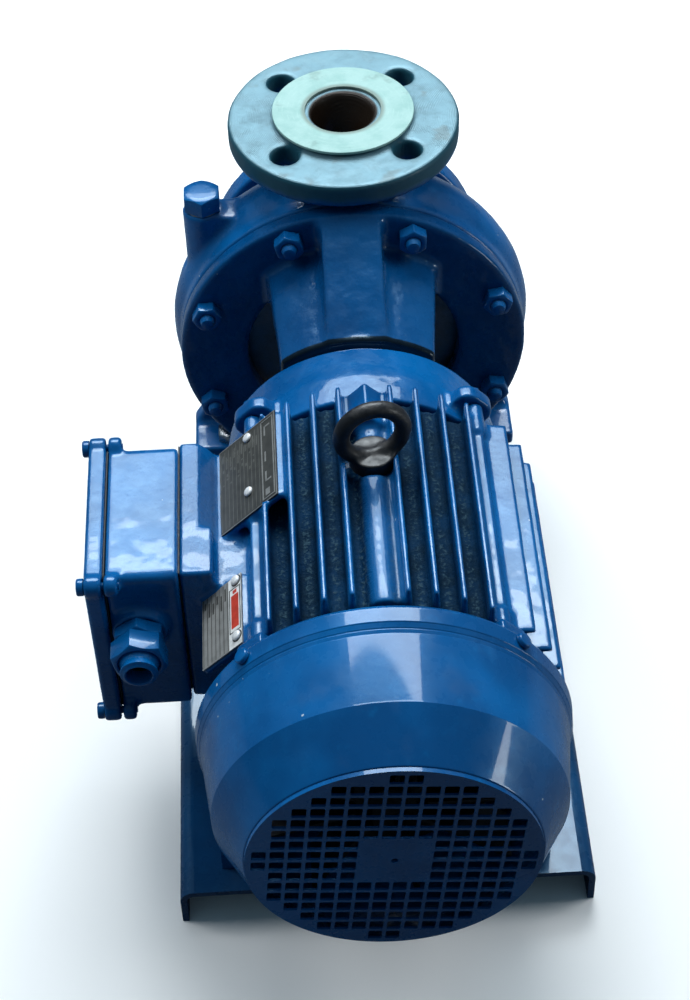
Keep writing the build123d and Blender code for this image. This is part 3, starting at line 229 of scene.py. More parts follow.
def enamel_colour(look, chips):
    """Blue with thicker and thinner coats, a film of dust on top and a few chips to the primer."""
    colour = look.mix(look.ramp(look.noise(16, 3), 0.38, 0.66), ENAMEL_DEEP, ENAMEL_MID)
    colour = look.mix(look.ramp(look.noise(95, 4, 0.6), 0.55, 0.8, 0.0, 0.4), colour, ENAMEL_THIN)
    upward = look.ramp(look.facing(2), 0.6, 0.98)
    film = look.times(upward, look.ramp(look.noise(48, 5, 0.6), 0.5, 0.8, 0.0, 0.05))
    colour = look.mix(film, colour, DUST)
    specks = look.ramp(look.noise(190, 2), 0.745, 0.76)
    chipped_areas = look.ramp(look.noise(18, 1), 0.58, 0.62)
    return look.mix(look.times(specks, chipped_areas, chips), colour, PRIMER)


def gloss(look, dull=0.36):
    """Roughness of the enamel, from its shiniest to its dullest patches."""
    return look.ramp(look.noise(110, 4), 0.3, 0.7, 0.22, dull)


def peel(look, cast_depth, peel_depth):
    """Surface normal: broad casting lumps under an orange-peel gloss coat."""
    lumps = look.bump(look.noise(70, 3, 0.5), cast_depth)
    grain = look.bump(look.noise(260, 2, 0.5), peel_depth, lumps)
    return look.bump(look.noise(900, 2), peel_depth * 0.18, grain)


# Span along y of the painted shadow band at the motor joint.
JOINT_START, JOINT_END = -0.1955, -0.1945


def enamel(name, cast_depth, peel_depth, chips, painted_shade=0.0, joint=False, grime=0.0):
    """Gloss enamel; a share of painted shade can darken the whole part, the joint to the motor gets a black
    band of painted shadow and grime, grime dulls the base.
    """
    look = Look(name)
    # Painted shade: the given share mixes the whole colour towards ENAMEL_SHADED.
    colour = look.mix(painted_shade, enamel_colour(look, chips), ENAMEL_SHADED)
    if joint:
        # Painted shadow with grime: a black band at the lantern's end next to the motor.
        colour = look.mix(look.ramp(look.axis(1), JOINT_START, JOINT_END, 1.0, 0.0), colour, JOINT_SHADOW_AND_GRIME)
    if grime:
        dull = look.ramp(look.noise(22, 4, 0.6), 0.3, 0.7, grime * 0.7, grime)
        colour = look.mix(dull, colour, BASE_GRIME)
    look.set(Base_Color=colour, Normal=peel(look, cast_depth, peel_depth), Specular_Tint=ENAMEL_SHEEN,
             Coat_Weight=0.45, Coat_Roughness=0.05, Specular_IOR_Level=0.3, Roughness=gloss(look))
    return look.material


VALLEY_RADIUS, FLANK_RADIUS = 0.0880, 0.0985
VALLEY_HALF_WIDTH = 0.067
FIN_PITCH = 0.0152
RIDGE_START, RIDGE_END = 0.0050, 0.0062     # distance from the middle of a fin
SHELF_X = -0.068


def frame_enamel():
    """Enamel of the finned frame: glossy on the crests, darkened with painted shade and some grime and
    speckled down between the top fins.
    """
    look = Look("enamel_on_fins")
    across, up = look.axis(0), look.axis(2)
    within = look.ramp(look.math("ABSOLUTE", across), VALLEY_HALF_WIDTH, VALLEY_HALF_WIDTH + 0.001, 1.0, 0.0)
    low = look.ramp(look.distance(across, up), VALLEY_RADIUS, FLANK_RADIUS, 1.0, 0.0)
    valley = look.times(within, look.ramp(up, 0.03, 0.04), low)
    # Painted shade with some grime fills the valleys between the top fins; the noise varies how dark it is.
    grime = look.ramp(look.noise(60, 4, 0.6), 0.3, 0.7, 0.75, 0.95)
    colour = look.mix(look.times(valley, grime), enamel_colour(look, 0.8), VALLEY_SHADE_AND_GRIME)
    from_fin = look.math("PINGPONG", across, FIN_PITCH / 2)
    on_ridge = look.times(valley, look.ramp(from_fin, RIDGE_START, RIDGE_END))
    crumbs = look.noise(420, 3, 0.7)
    colour = look.mix(look.times(on_ridge, look.ramp(crumbs, 0.48, 0.66, 0.0, 0.9)), colour, VALLEY_SPECK)
    on_shelf = look.ramp(across, SHELF_X - 0.002, SHELF_X, 1.0, 0.0)
    rough_cast = look.math("MAXIMUM", valley, look.times(on_shelf, 0.35))
    grain = look.bump(look.times(crumbs, rough_cast), 0.0014, peel(look, 0.0007, 0.00012))
    look.set(Base_Color=colour, Normal=grain, Specular_Tint=ENAMEL_SHEEN, Coat_Roughness=0.05,
             Coat_Weight=look.blend(valley, 0.5, 0.0), Specular_IOR_Level=look.blend(valley, 0.3, 0.12),
             Roughness=look.blend(valley, gloss(look), 0.62))
    return look.material


RAGGED_EDGE = 0.010
TURNING_PITCH = 0.0011
BORE_INSIDE, BORE_EDGE = 0.0215, 0.0235


def darker(colour, share):
    """A colour with only a share of its light."""
    return tuple(channel * share for channel in colour)


def volute_enamel():
    """Enamel that stops at the discharge flange, whose faces are bare and turned."""
    look = Look("enamel_with_bare_flange")
    radius = look.from_discharge()
    height = look.axis(2)
    ragged = look.times(look.math("SUBTRACT", look.noise(60, 4), 0.5), RAGGED_EDGE)
    on_flange = look.ramp(look.math("ADD", height, ragged), FLANGE_UNDERSIDE, FLANGE_UNDERSIDE + 0.007)
    top = look.ramp(look.facing(2), 0.75, 0.95)
    stains = look.ramp(look.noise(55, 5, 0.65), 0.42, 0.72)
    bare = look.mix(stains, FLANGE_BARE, darker(FLANGE_BARE, 0.72))
    turned = look.turning_marks(radius, TURNING_PITCH)
    bare = look.mix(look.ramp(turned, 0.1, 0.9, 0.0, 0.22), bare, FLANGE_RINGS)
    bare = look.mix(look.ramp(look.noise(34, 3), 0.60, 0.68, 0.0, 0.35), bare, FLANGE_RUST)
    # Painted shade: faces of the bare flange that do not face up take a darker colour.
    metal = look.mix(top, FLANGE_SIDE_SHADE, bare)
    colour = look.mix(on_flange, enamel_colour(look, 0.6), metal)
    in_bore = look.times(look.ramp(radius, BORE_INSIDE, BORE_EDGE, 1.0, 0.0), look.ramp(height, 0.05, 0.06))
    colour = look.mix(in_bore, colour, RUST)
    marks = look.bump(look.times(turned, on_flange), 0.00006, peel(look, 0.0003, 0.00010))
    look.set(Base_Color=colour, Normal=marks, Coat_Roughness=0.06, Specular_IOR_Level=0.3,
             Coat_Weight=look.blend(on_flange, 0.45, 0.05), Metallic=look.times(on_flange, top, 0.35),
             Roughness=look.blend(on_flange, gloss(look, 0.40), 0.5))
    return look.material


# ------------------------------------------------------------------ bare materials
METAL_GRIME = (0.05, 0.04, 0.03)


def bare_metal(name, colour, rough=0.35, metallic=1.0, stretch=None, grime=0.3):
    """Machined or rolled metal with fine lines, stains and uneven shine."""
    look = Look(name)
    place = look.stretched(*stretch) if stretch else None
    lines = look.noise(900, 3, 0.6, place=place)
    stain = look.ramp(look.noise(70, 4, 0.65), 0.45, 0.75, 0.0, grime)
    tone = look.mix(look.ramp(lines, 0.3, 0.7), darker(colour, 0.8), colour)
    look.set(Base_Color=look.mix(stain, tone, METAL_GRIME), Metallic=metallic,
             Roughness=look.ramp(look.noise(160, 4), 0.3, 0.7, rough * 0.8, rough * 1.3),
             Normal=look.bump(lines, 0.00005))
    return look.material


def soft_matter(name, colour, rough=0.6, grain_scale=900, depth=0.0001):
    """Rubber, fibre or moulded plastic with a fine grain."""
    look = Look(name)
    blotch = look.noise(90, 4)
    grain = look.noise(grain_scale, 3, 0.6)
    look.set(Base_Color=look.mix(look.ramp(blotch, 0.3, 0.7), darker(colour, 0.65), colour),
             Roughness=look.ramp(grain, 0.3, 0.7, rough - 0.1, rough + 0.1), Normal=look.bump(grain, depth))
    return look.material


def gasket_fibre():
    """Pale mint fibre with faint rings and stains."""
    look = Look("mint_fibre")
    radius = look.from_discharge()
    colour = look.mix(look.ramp(look.noise(75, 5, 0.6), 0.35, 0.7), (0.29, 0.47, 0.44), (0.22, 0.40, 0.37))
    pressed_rings = look.ramp(look.turning_marks(radius, 0.0032), 0.2, 0.9, 0.0, 0.3)
    colour = look.mix(pressed_rings, colour, (0.34, 0.53, 0.49))
    smudge = look.ramp(look.noise(42, 4, 0.6), 0.58, 0.70, 0.0, 0.45)
    colour = look.mix(smudge, colour, (0.10, 0.17, 0.15))
    wet_rim = look.ramp(radius, 0.0255, 0.0285, 0.7, 0.0)
    colour = look.mix(wet_rim, colour, (0.12, 0.15, 0.12))
    look.set(Base_Color=colour, Roughness=0.6, Normal=look.bump(look.noise(700, 3), 0.00008))
    return look.material


def black_forging():
    """Black forged steel, rubbed brown and grey where it faces up."""
    look = Look("black_forged_steel")
    upward = look.ramp(look.facing(2), 0.35, 0.95)
    worn = look.times(upward, look.ramp(look.noise(110, 5, 0.7), 0.48, 0.68))
    colour = look.mix(look.ramp(look.noise(80, 3), 0.4, 0.7), (0.006, 0.006, 0.008), (0.016, 0.015, 0.016))
    colour = look.mix(worn, colour, (0.045, 0.042, 0.040))
    look.set(Base_Color=colour, Coat_Weight=0.08, Coat_Roughness=0.2,
             Roughness=look.ramp(look.noise(150, 3), 0.3, 0.7, 0.34, 0.6),
             Normal=look.bump(look.noise(300, 4, 0.6), 0.0003))
    return look.material


def plate_print(name, colour, rough):
    """Etched or printed face of a nameplate."""
    look = Look(name)
    fade = look.ramp(look.noise(160, 4), 0.35, 0.75)
    look.set(Base_Color=look.mix(fade, colour, darker(colour, 0.7)), Roughness=rough, Metallic=0.25,
             Normal=look.bump(look.noise(1400, 2), 0.00002))
    return look.material


CAST = enamel("enamel_on_casting", 0.0007, 0.00012, 0.8)
# Lantern: painted shade darkens it for the shadow of the discharge flange, and its end at the motor gets a
# painted shadow band.
LANTERN_CAST = enamel("enamel_on_lantern", 0.0009, 0.00014, 0.8, painted_shade=0.5, joint=True)
# Base: painted shade darkens it for the shadow of the motor; grime dulls it too.
BASE_SHEET = enamel("enamel_on_base", 0.00012, 0.00006, 0.9, painted_shade=0.3, grime=0.55)
FINNED = frame_enamel()
SHEET = enamel("enamel_on_sheet", 0.00012, 0.00005, 0.9)
FITTING = enamel("enamel_on_fittings", 0.0002, 0.00010, 0.6)
VOLUTE = volute_enamel()
STEEL = bare_metal("machined_steel", (0.5, 0.5, 0.51), 0.3)
DARK_STEEL = bare_metal("oiled_steel", (0.02, 0.02, 0.022), 0.5, metallic=0.5)
IRON = bare_metal("machined_iron", (0.22, 0.22, 0.22), 0.45)
BRONZE = bare_metal("cast_bronze", (0.45, 0.28, 0.12), 0.4)
BRASS = bare_metal("brass", (0.7, 0.5, 0.2), 0.3)
COPPER = bare_metal("varnished_copper", (0.5, 0.2, 0.07), 0.3, stretch=(1, 0.1, 1))
STACK = bare_metal("lamination_stack", (0.3, 0.3, 0.32), 0.5, stretch=(0.05, 3, 0.05))
RIVET = bare_metal("rivet_aluminium", (0.85, 0.85, 0.85), 0.45, metallic=0.3, grime=0.1)
BLACK = black_forging()
RUBBER = soft_matter("black_rubber", (0.02, 0.02, 0.02))
PLASTIC = soft_matter("black_plastic", (0.012, 0.012, 0.013), 0.5, 1500)
FIBRE = soft_matter("grey_fibre", (0.3, 0.28, 0.25), 0.8)
MINT = gasket_fibre()
CERAMIC = soft_matter("white_ceramic", (0.8, 0.79, 0.75), 0.25)
CARBON = soft_matter("carbon_ring", (0.03, 0.03, 0.03), 0.35)
PLATE = plate_print("etched_plate", (0.060, 0.060, 0.055), 0.5)
PLATE_FAINT = plate_print("faint_rules", (0.115, 0.115, 0.105), 0.5)
PLATE_LINE = plate_print("plate_rules", (0.26, 0.26, 0.25), 0.4)
PLATE_WHITE = plate_print("printed_white", (0.80, 0.80, 0.78), 0.45)
PLATE_RED = plate_print("printed_red", (0.62, 0.06, 0.035), 0.4)
PLATE_BLACK = plate_print("printed_black", (0.015, 0.015, 0.015), 0.4)

BY_SLOT = {
    "blue_cast": CAST, "blue_sheet": SHEET, "blue_fasteners": FITTING, "green_fibre": MINT, "fibre": FIBRE,
    "grey_iron": IRON, "bronze": BRONZE, "brass": BRASS, "steel": STEEL, "black_steel": BLACK,
    "ceramic": CERAMIC, "carbon": CARBON, "rubber": RUBBER, "lamination": STACK, "copper": COPPER,
    "black_plastic": PLASTIC, "plate": PLATE, "aluminium": RIVET,
}


def dress(obj, *materials):
    """Gives an object its materials; a mesh with none yet keeps the material numbers of its faces."""
    if len(obj.data.materials):
        obj.data.materials.clear()
    for material in materials:
        obj.data.materials.append(material)


for node_name, node in NODES.items():
    dress(node, BY_SLOT[SLOT_OF[node_name]])
dress(NODES["base_frame"], BASE_SHEET)
dress(NODES["motor_shaft"], DARK_STEEL)
dress(NODES["fan_circlip"], DARK_STEEL)


# ------------------------------------------------------------------ mesh tools
def show(name, mesh, nodes, *materials, sharp=35):
    """Shows a mesh in place of CAD nodes, on their body, in their slot's material unless others are given.
    """
    mesh.shade_smooth()
    mesh.set_sharp_from_angle(angle=math.radians(sharp))
    obj = bpy.data.objects.new(name, mesh)
    bpy.context.scene.collection.objects.link(obj)
    dress(obj, *(materials or (BY_SLOT[SLOT_OF[nodes[0]]],)))
    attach(obj, BODY_OF[nodes[0]])
    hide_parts(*nodes)
    return obj


def baked(mesh, *steps):
    """Runs a mesh through modifiers, each given as (kind, settings), and returns the resulting mesh."""
    holder = bpy.data.objects.new("holder", mesh)
    bpy.context.scene.collection.objects.link(holder)
    for kind, settings in steps:
        modifier = holder.modifiers.new(kind, kind)
        for key, value in settings.items():
            setattr(modifier, key, value)
    result = bpy.data.meshes.new_from_object(holder.evaluated_get(bpy.context.evaluated_depsgraph_get()))
    bpy.data.objects.remove(holder)
    return result


def remesh(size):
    return ("REMESH", {"mode": "VOXEL", "voxel_size": size})


def grow(depth):
    return ("DISPLACE", {"strength": depth, "mid_level": 0.0})


def smooth(times):
    return ("SMOOTH", {"factor": 0.5, "iterations": times})


def bevel(width, segments=2):
    return ("BEVEL", {"width": width, "segments": segments, "limit_method": "ANGLE", "angle_limit": 0.6})


def joined(meshes):
    """One mesh holding copies of several."""
    whole = bmesh.new()
    for mesh in meshes:
        whole.from_mesh(mesh)
    result = bpy.data.meshes.new("joined")
    whole.to_mesh(result)
    whole.free()
    return result


def sand_texture(size):
    texture = bpy.data.textures.new("sand_cast", "CLOUDS")
    texture.noise_scale = size
    texture.noise_depth = 2
    return texture


def casting(nodes, voxel, fillet, lumps, *materials, rounding=0.0, smoothing=3, lump_size=0.022):
    """Cast version of CAD nodes: filled inner corners, rounded edges and an uneven surface."""
    steps = [remesh(voxel), grow(fillet), remesh(voxel), grow(-fillet), remesh(voxel)]
    if rounding:
        steps += [grow(-rounding), remesh(voxel), grow(rounding), remesh(voxel)]
    steps.append(smooth(smoothing))
    steps.append(("DISPLACE", {"texture": sand_texture(lump_size), "texture_coords": "LOCAL",
                               "strength": lumps, "mid_level": 0.5}))
    mesh = baked(joined([NODES[node].data for node in nodes]), *steps)
    return show(nodes[0] + "_cast", mesh, nodes, *materials, sharp=60)


def ring_mesh(rings, closed):
    """Surface through rings of points; closed joins the last ring to the first."""
    count = len(rings[0])
    made = bmesh.new()
    rows = [[made.verts.new(point) for point in ring] for ring in rings]
    pairs = list(zip(rows, rows[1:]))
    if closed:
        pairs.append((rows[-1], rows[0]))
    for lower, upper in pairs:
        for i in range(count):
            made.faces.new((lower[i], lower[(i + 1) % count], upper[(i + 1) % count], upper[i]))
    bmesh.ops.remove_doubles(made, verts=made.verts, dist=1e-7)
    bmesh.ops.recalc_face_normals(made, faces=made.faces)
    mesh = bpy.data.meshes.new("rings")
    made.to_mesh(mesh)
    made.free()
    return mesh


def lathe(profile, segments=64):
    """Solid turned about +Z from a closed outline of (radius, height) points in millimetres."""
    rings = []
    for radius, height in profile:
        turn = [2 * math.pi * i / segments for i in range(segments)]
        rings.append([Vector((radius * math.cos(a), radius * math.sin(a), height)) * MM for a in turn])
    return ring_mesh(rings, True)


def rounded(points, radii, steps=5):
    """Outline with its corners rounded by arcs; radii follow the points, 0 keeps a corner."""
    outline = []
    for i, (corner, radius) in enumerate(zip(points, radii)):
        here = Vector(corner)
        if not radius:
            outline.append(tuple(here))
            continue
        before = (Vector(points[i - 1]) - here).normalized()
        after = (Vector(points[(i + 1) % len(points)]) - here).normalized()
        half = before.angle(after) / 2
        start = here + before * radius / math.tan(half)
        end = here + after * radius / math.tan(half)
        centre = here + (before + after).normalized() * radius / math.sin(half)
        for k in range(steps + 1):
            spoke = (start - centre).slerp(end - centre, k / steps) if half < 1.5707 else start - centre
            outline.append(tuple(centre + spoke))
    return outline


def supported(outline, reach=0.8):
    """Outline with an extra point near both ends of each long stretch, so that flat walls shade flat."""
    result = []
    for i, point in enumerate(outline):
        here, ahead = Vector(point), Vector(outline[(i + 1) % len(outline)])
        result.append(point)
        if (ahead - here).length > 6 * reach:
            step = (ahead - here).normalized() * reach
            result += [tuple(here + step), tuple(ahead - step)]
    return result


def placed(mesh, origin, direction, turn=0.0):
    """Copy of a mesh built along +Z, turned about its axis, pointed along direction and moved to origin."""
    aim = direction.to_track_quat("Z", "Y").to_matrix().to_4x4()
    copy = mesh.copy()
    copy.transform(Matrix.Translation(origin) @ aim @ Matrix.Rotation(turn, 4, "Z"))
    return copy


HEX_POINTS = 48
CHAMFER_START = 0.94
CHAMFER_SLOPE = math.tan(math.radians(30))


def hexagon(flats, height, hole=0.0):
    """Hexagon nut, or screw head when it has no hole, with chamfered corners; millimetres, along +Z."""
    circle = CHAMFER_START * flats / 2
    steps = ([(None, 0.0), (None, height), (circle, height)] +
             ([(hole + 0.6, height), (hole, height - 0.6), (hole, 0.0)] if hole else
              [(circle * 0.6, height + 0.25), (0.0, height + 0.3), (0.0, 0.0)]))
    rings = []
    for radius, level in steps:
        ring = []
        for i in range(HEX_POINTS):
            angle = 2 * math.pi * i / HEX_POINTS
            reach = flats / 2 / math.cos((angle + math.pi / 6) % (math.pi / 3) - math.pi / 6)
            at = reach if radius is None else radius
            drop = (reach - circle) * CHAMFER_SLOPE if radius is None and level > 0 else 0.0
            ring.append(Vector((at * math.cos(angle), at * math.sin(angle), level - drop)) * MM)
        rings.append(ring)
    return ring_mesh(rings, True)


THREAD_DEPTH = 0.45


def threaded_bar(radius, length, pitch=1.5):
    """Bar with thread ridges and a chamfered end at the top; millimetres, along +Z."""
    profile = [(0.0, 0.0), (radius, 0.0)]
    turns = int((length - 1.5) / pitch)
    for k in range(turns):
        profile += [(radius, (k + 0.1) * pitch), (radius - THREAD_DEPTH, (k + 0.5) * pitch),
                    (radius, (k + 0.9) * pitch)]
    profile += [(radius - 1.1, length - 0.2), (radius - 1.4, length), (0.0, length)]
    return lathe(profile, 32)


def islands(node):
    """Separate solids of a node, each as its list of points."""
    whole = bmesh.new()
    whole.from_mesh(NODES[node].data)
    bmesh.ops.remove_doubles(whole, verts=whole.verts, dist=1e-6)
    left = set(whole.verts)
    groups = []
    while left:
        front = [left.pop()]
        group = list(front)
        while front:
            for edge in front.pop().link_edges:
                for vert in edge.verts:
                    if vert in left:
                        left.remove(vert)
                        front.append(vert)
                        group.append(vert)
        groups.append([vert.co.copy() for vert in group])
    whole.free()
    return sorted(groups, key=lambda group: tuple(round(c, 5) for c in group_middle(group)))


def group_middle(points):
    """Middle of the box around a group of points."""
    low = [min(p[i] for p in points) for i in range(3)]
    high = [max(p[i] for p in points) for i in range(3)]
    return Vector([(a + b) / 2 for a, b in zip(low, high)])


def ends(points, direction):
    """Foot point of a solid's axis, and its length along the direction in millimetres."""
    reach = [p.dot(direction) for p in points]
    middle = group_middle(points)
    foot = middle + direction * (min(reach) - middle.dot(direction))
    return foot, (max(reach) - min(reach)) / MM


def screws(node, direction, flats, head, radius):
    """Hexagon screws in place of a node's plain ones; direction may depend on where a screw is."""
    parts = []
    for index, points in enumerate(islands(node)):
        way = direction(group_middle(points)) if callable(direction) else direction
        foot, length = ends(points, way)
        parts.append(placed(threaded_bar(radius, length - head + 0.5), foot, way))
        seat = foot + way * (length - head) * MM
        parts.append(placed(hexagon(flats, head - 0.3), seat, way, index * 0.7))
    show(node + "_made", baked(joined(parts), bevel(0.00022)), [node])


# ------------------------------------------------------------------ pieces
def make_castings():
    """Cast skin of every casting: softened edges, rounding, waviness and grain."""
    casting(["volute_casing"], 0.0011, 0.0030, 0.0006, VOLUTE, rounding=0.0010)
    casting(["pump_lantern"], 0.0011, 0.0035, 0.0009, LANTERN_CAST, rounding=0.0008)
    casting(["drive_end_shield"], 0.0010, 0.0025, 0.0006)
    casting(["motor_frame"], 0.0010, 0.0015, 0.0005, FINNED, smoothing=7)
    casting(["rear_end_shield"], 0.0012, 0.0020, 0.0005)
    casting(["terminal_box"], 0.0009, 0.0020, 0.0003, rounding=0.0007)
    casting(["terminal_box_cover"], 0.0009, 0.0015, 0.0003, rounding=0.0010)
    casting(["eye_bolt"], 0.0007, 0.0030, 0.0003, lump_size=0.008)


NUT_FLATS, NUT_HOLE, STUD_RADIUS = 17.0, 5.0, 5.0


def make_casing_bolts():
    """Nuts and threaded studs that hold the casing to the lantern."""
    nuts = []
    for index, points in enumerate(islands("casing_nuts")):
        foot, height = ends(points, TOWARDS_FAN)
        nuts.append(placed(hexagon(NUT_FLATS, height, NUT_HOLE), foot, TOWARDS_FAN, 0.37 * index + 0.2))
    show("casing_nuts_made", baked(joined(nuts), bevel(0.0003)), ["casing_nuts"])
    studs = []
    for points in islands("casing_studs"):
        foot, length = ends(points, TOWARDS_FAN)
        studs.append(placed(threaded_bar(STUD_RADIUS - 0.05, length), foot, TOWARDS_FAN))
    show("casing_studs_made", joined(studs), ["casing_studs"])


def screw_side(middle):
    """Front screws of the motor point at the pump, rear ones at the fan."""
    return TOWARDS_FAN if middle.y < -0.35 else -TOWARDS_FAN


def make_screws():
    """Hexagon screws and the filler plug, each with its flats, head height and thread radius."""
    screws("end_shield_screws", screw_side, 10, 4, 3)
    screws("lantern_screws", -TOWARDS_FAN, 13, 5.5, 4)
    screws("pump_foot_bolts", UP, 18, 7.5, 6)
    screws("filler_plug", UP, 22.5, 12, 8)


COWL_FRONT, COWL_RIM_END, COWL_EDGE, COWL_FACE = 438.0, 449.5, 498.5, 528.0
COWL_RIM, COWL_WALL, COWL_FACE_RADIUS, COWL_SHEET = 107.0, 104.0, 83.0, 1.5
GRILLE_FIELD, GRILLE_PITCH, GRILLE_HOLE, GRILLE_TILT = 81.0, 9.8, 7.8, math.radians(5.2)
GRILLE_ROWS, GRILLE_REACH, GRILLE_BLANK = 16, 57.5, 2      # in holes: rows, reach squared, half the blank


def cowl_shell():
    """Spun fan cowl without its grille: rolled rim, groove, wall, cone and rounded nose."""
    outside = [(COWL_RIM - 1.6, COWL_FRONT), (COWL_RIM, COWL_FRONT + 2), (COWL_RIM, COWL_RIM_END),
               (COWL_WALL - 0.9, COWL_RIM_END + 2.6), (COWL_WALL + 0.2, COWL_RIM_END + 5.5),
               (COWL_WALL - 0.5, COWL_EDGE), (COWL_FACE_RADIUS, COWL_FACE), (GRILLE_FIELD, COWL_FACE)]
    inner = COWL_FACE - COWL_SHEET
    inside = [(GRILLE_FIELD, inner), (COWL_FACE_RADIUS - 0.8, inner), (COWL_WALL - 2.1, COWL_EDGE - 0.7),
              (COWL_WALL - 1.6, COWL_RIM_END + 5.8), (COWL_RIM - 3.2, COWL_RIM_END + 1),
              (COWL_RIM - 3.2, COWL_FRONT)]
    radii = [0.8, 1.2, 2.0, 1.6, 1.6, 6.0, 3.6, 0] + [0, 3.0, 5.0, 1.0, 1.0, 0]
    return lathe(supported(rounded(outside + inside, radii, 9)), 192)


def grille_spots():
    """Centres of the air holes: a round field of square holes with a blank middle."""
    steps = [k - (GRILLE_ROWS - 1) / 2 for k in range(GRILLE_ROWS)]
    return [(u * GRILLE_PITCH, v * GRILLE_PITCH) for u in steps for v in steps
            if u * u + v * v < GRILLE_REACH and max(abs(u), abs(v)) > GRILLE_BLANK]


def square_bar(u, v, size, corner, low, high):
    """Square bar with rounded corners along +Z; millimetres."""
    half = size / 2
    corners = [(-1, -1), (1, -1), (1, 1), (-1, 1)]
    outline = rounded([(u + a * half, v + b * half) for a, b in corners], [corner] * 4, 3)
    rings = [[Vector((x, y, level)) * MM for x, y in outline] for level in (low, high)]
    bar = ring_mesh(rings, False)
    caps = bmesh.new()
    caps.from_mesh(bar)
    bmesh.ops.holes_fill(caps, edges=caps.edges)
    bmesh.ops.recalc_face_normals(caps, faces=caps.faces)
    caps.to_mesh(bar)
    caps.free()
    return bar


def grille():
    """Flat round face of the cowl, pierced by the field of air holes and a small middle hole."""
    low, high = COWL_FACE - COWL_SHEET, COWL_FACE
    disc = lathe([(0, low), (GRILLE_FIELD, low), (GRILLE_FIELD, high), (0, high)], 192)
    bars = [square_bar(u, v, GRILLE_HOLE, 1.0, low - 2, high + 2) for u, v in grille_spots()]
    bars.append(lathe([(0, low - 2), (2, low - 2), (2, high + 2), (0, high + 2)], 24))
    cutter = bpy.data.objects.new("grille_cutter", joined(bars))
    bpy.context.scene.collection.objects.link(cutter)
    cutter.data.transform(Matrix.Rotation(-GRILLE_TILT, 4, "Z"))
    face = baked(disc, ("BOOLEAN", {"operation": "DIFFERENCE", "object": cutter, "solver": "EXACT"}))
    bpy.data.objects.remove(cutter)
    return face


def make_cowl():
    """Shell and grille, with their turning axis laid along -Y and their x kept on +X."""
    lay = Matrix(((1, 0, 0), (0, 0, -1), (0, 1, 0))).to_4x4()
    whole = joined([cowl_shell(), grille()])
    whole.transform(lay)
    show("fan_cowl_spun", whole, ["fan_cowl"], sharp=28)


QUARTER = [math.pi / 2 * k / 6 for k in range(7)]
HEAD_CROWN = 1.4


def domed_head(radius, height):
    """Pan head of a cowl screw; millimetres, along +Z."""
    dome = [(radius - 1 + math.cos(a), height - HEAD_CROWN + HEAD_CROWN * math.sin(a)) for a in QUARTER]
    return lathe([(0, 0), (radius, 0), *dome, (0, height)], 32)


RIVET_SHANK, RIVET_HEAD, RIVET_CROWN = 1.5, 3.1, 1.3


def make_rivets():
    """Domed heads of the nameplate rivets."""
    heads = []
    for points in islands("nameplate_rivets"):
        foot, length = ends(points, PLATE_OUT)
        seat = length - 1.0
        dome = [(RIVET_HEAD * math.cos(a), length - 0.4 + RIVET_CROWN * math.sin(a)) for a in QUARTER]
        rivet = lathe([(0, 0), (RIVET_SHANK, 0), (RIVET_SHANK, seat), (RIVET_HEAD, seat), *dome], 32)
        heads.append(placed(rivet, foot, PLATE_OUT))
    show("nameplate_rivets_made", joined(heads), ["nameplate_rivets"])


def way_out(middle):
    """Cowl screws point straight out from the shaft axis."""
    return Vector((middle.x, 0, middle.z)).normalized()


def round_screws(node, direction, head_radius, head_height, radius):
    """Pan head screws in place of a node's plain ones; direction may depend on where a screw is."""
    parts = []
    for points in islands(node):
        way = direction(group_middle(points)) if callable(direction) else direction
        foot, length = ends(points, way)
        shank = length - head_height
        parts.append(placed(domed_head(head_radius, head_height), foot + way * shank * MM, way))
        parts.append(placed(threaded_bar(radius, shank, 1.0), foot, way))
    show(node + "_made", joined(parts), [node])


def make_round_screws():
    """Pan head screws of the fan cowl and of the terminal box cover."""
    round_screws("cowl_screws", way_out, 4.6, 2.6, 2)
    round_screws("cover_screws", OUT_OF_BOX, 5, 4, 2.4)


GLAND_FLATS, GLAND_COLLAR, GLAND_BORE = 27.0, 8.0, 9.5
GLAND_THREAD, GLAND_SLEEVE, GLAND_SLEEVE_LENGTH = 12.3, 12.1, 21.0
GLAND_NUT_FLATS, GLAND_NUT_HEX, GLAND_NUT_BORE = 29.0, 13.5, 12.2
GLAND_MOUTH, GLAND_DOME, GLAND_DOME_END = 7.5, 14.0, 11.4
COLLAR_BEHIND_NUT = Vector((0, 0.009, 0))


def tube(inner, outer, length):
    """Plain tube; millimetres, along +Z."""
    return lathe([(inner, 0), (outer, 0), (outer, length), (inner, length)], 48)


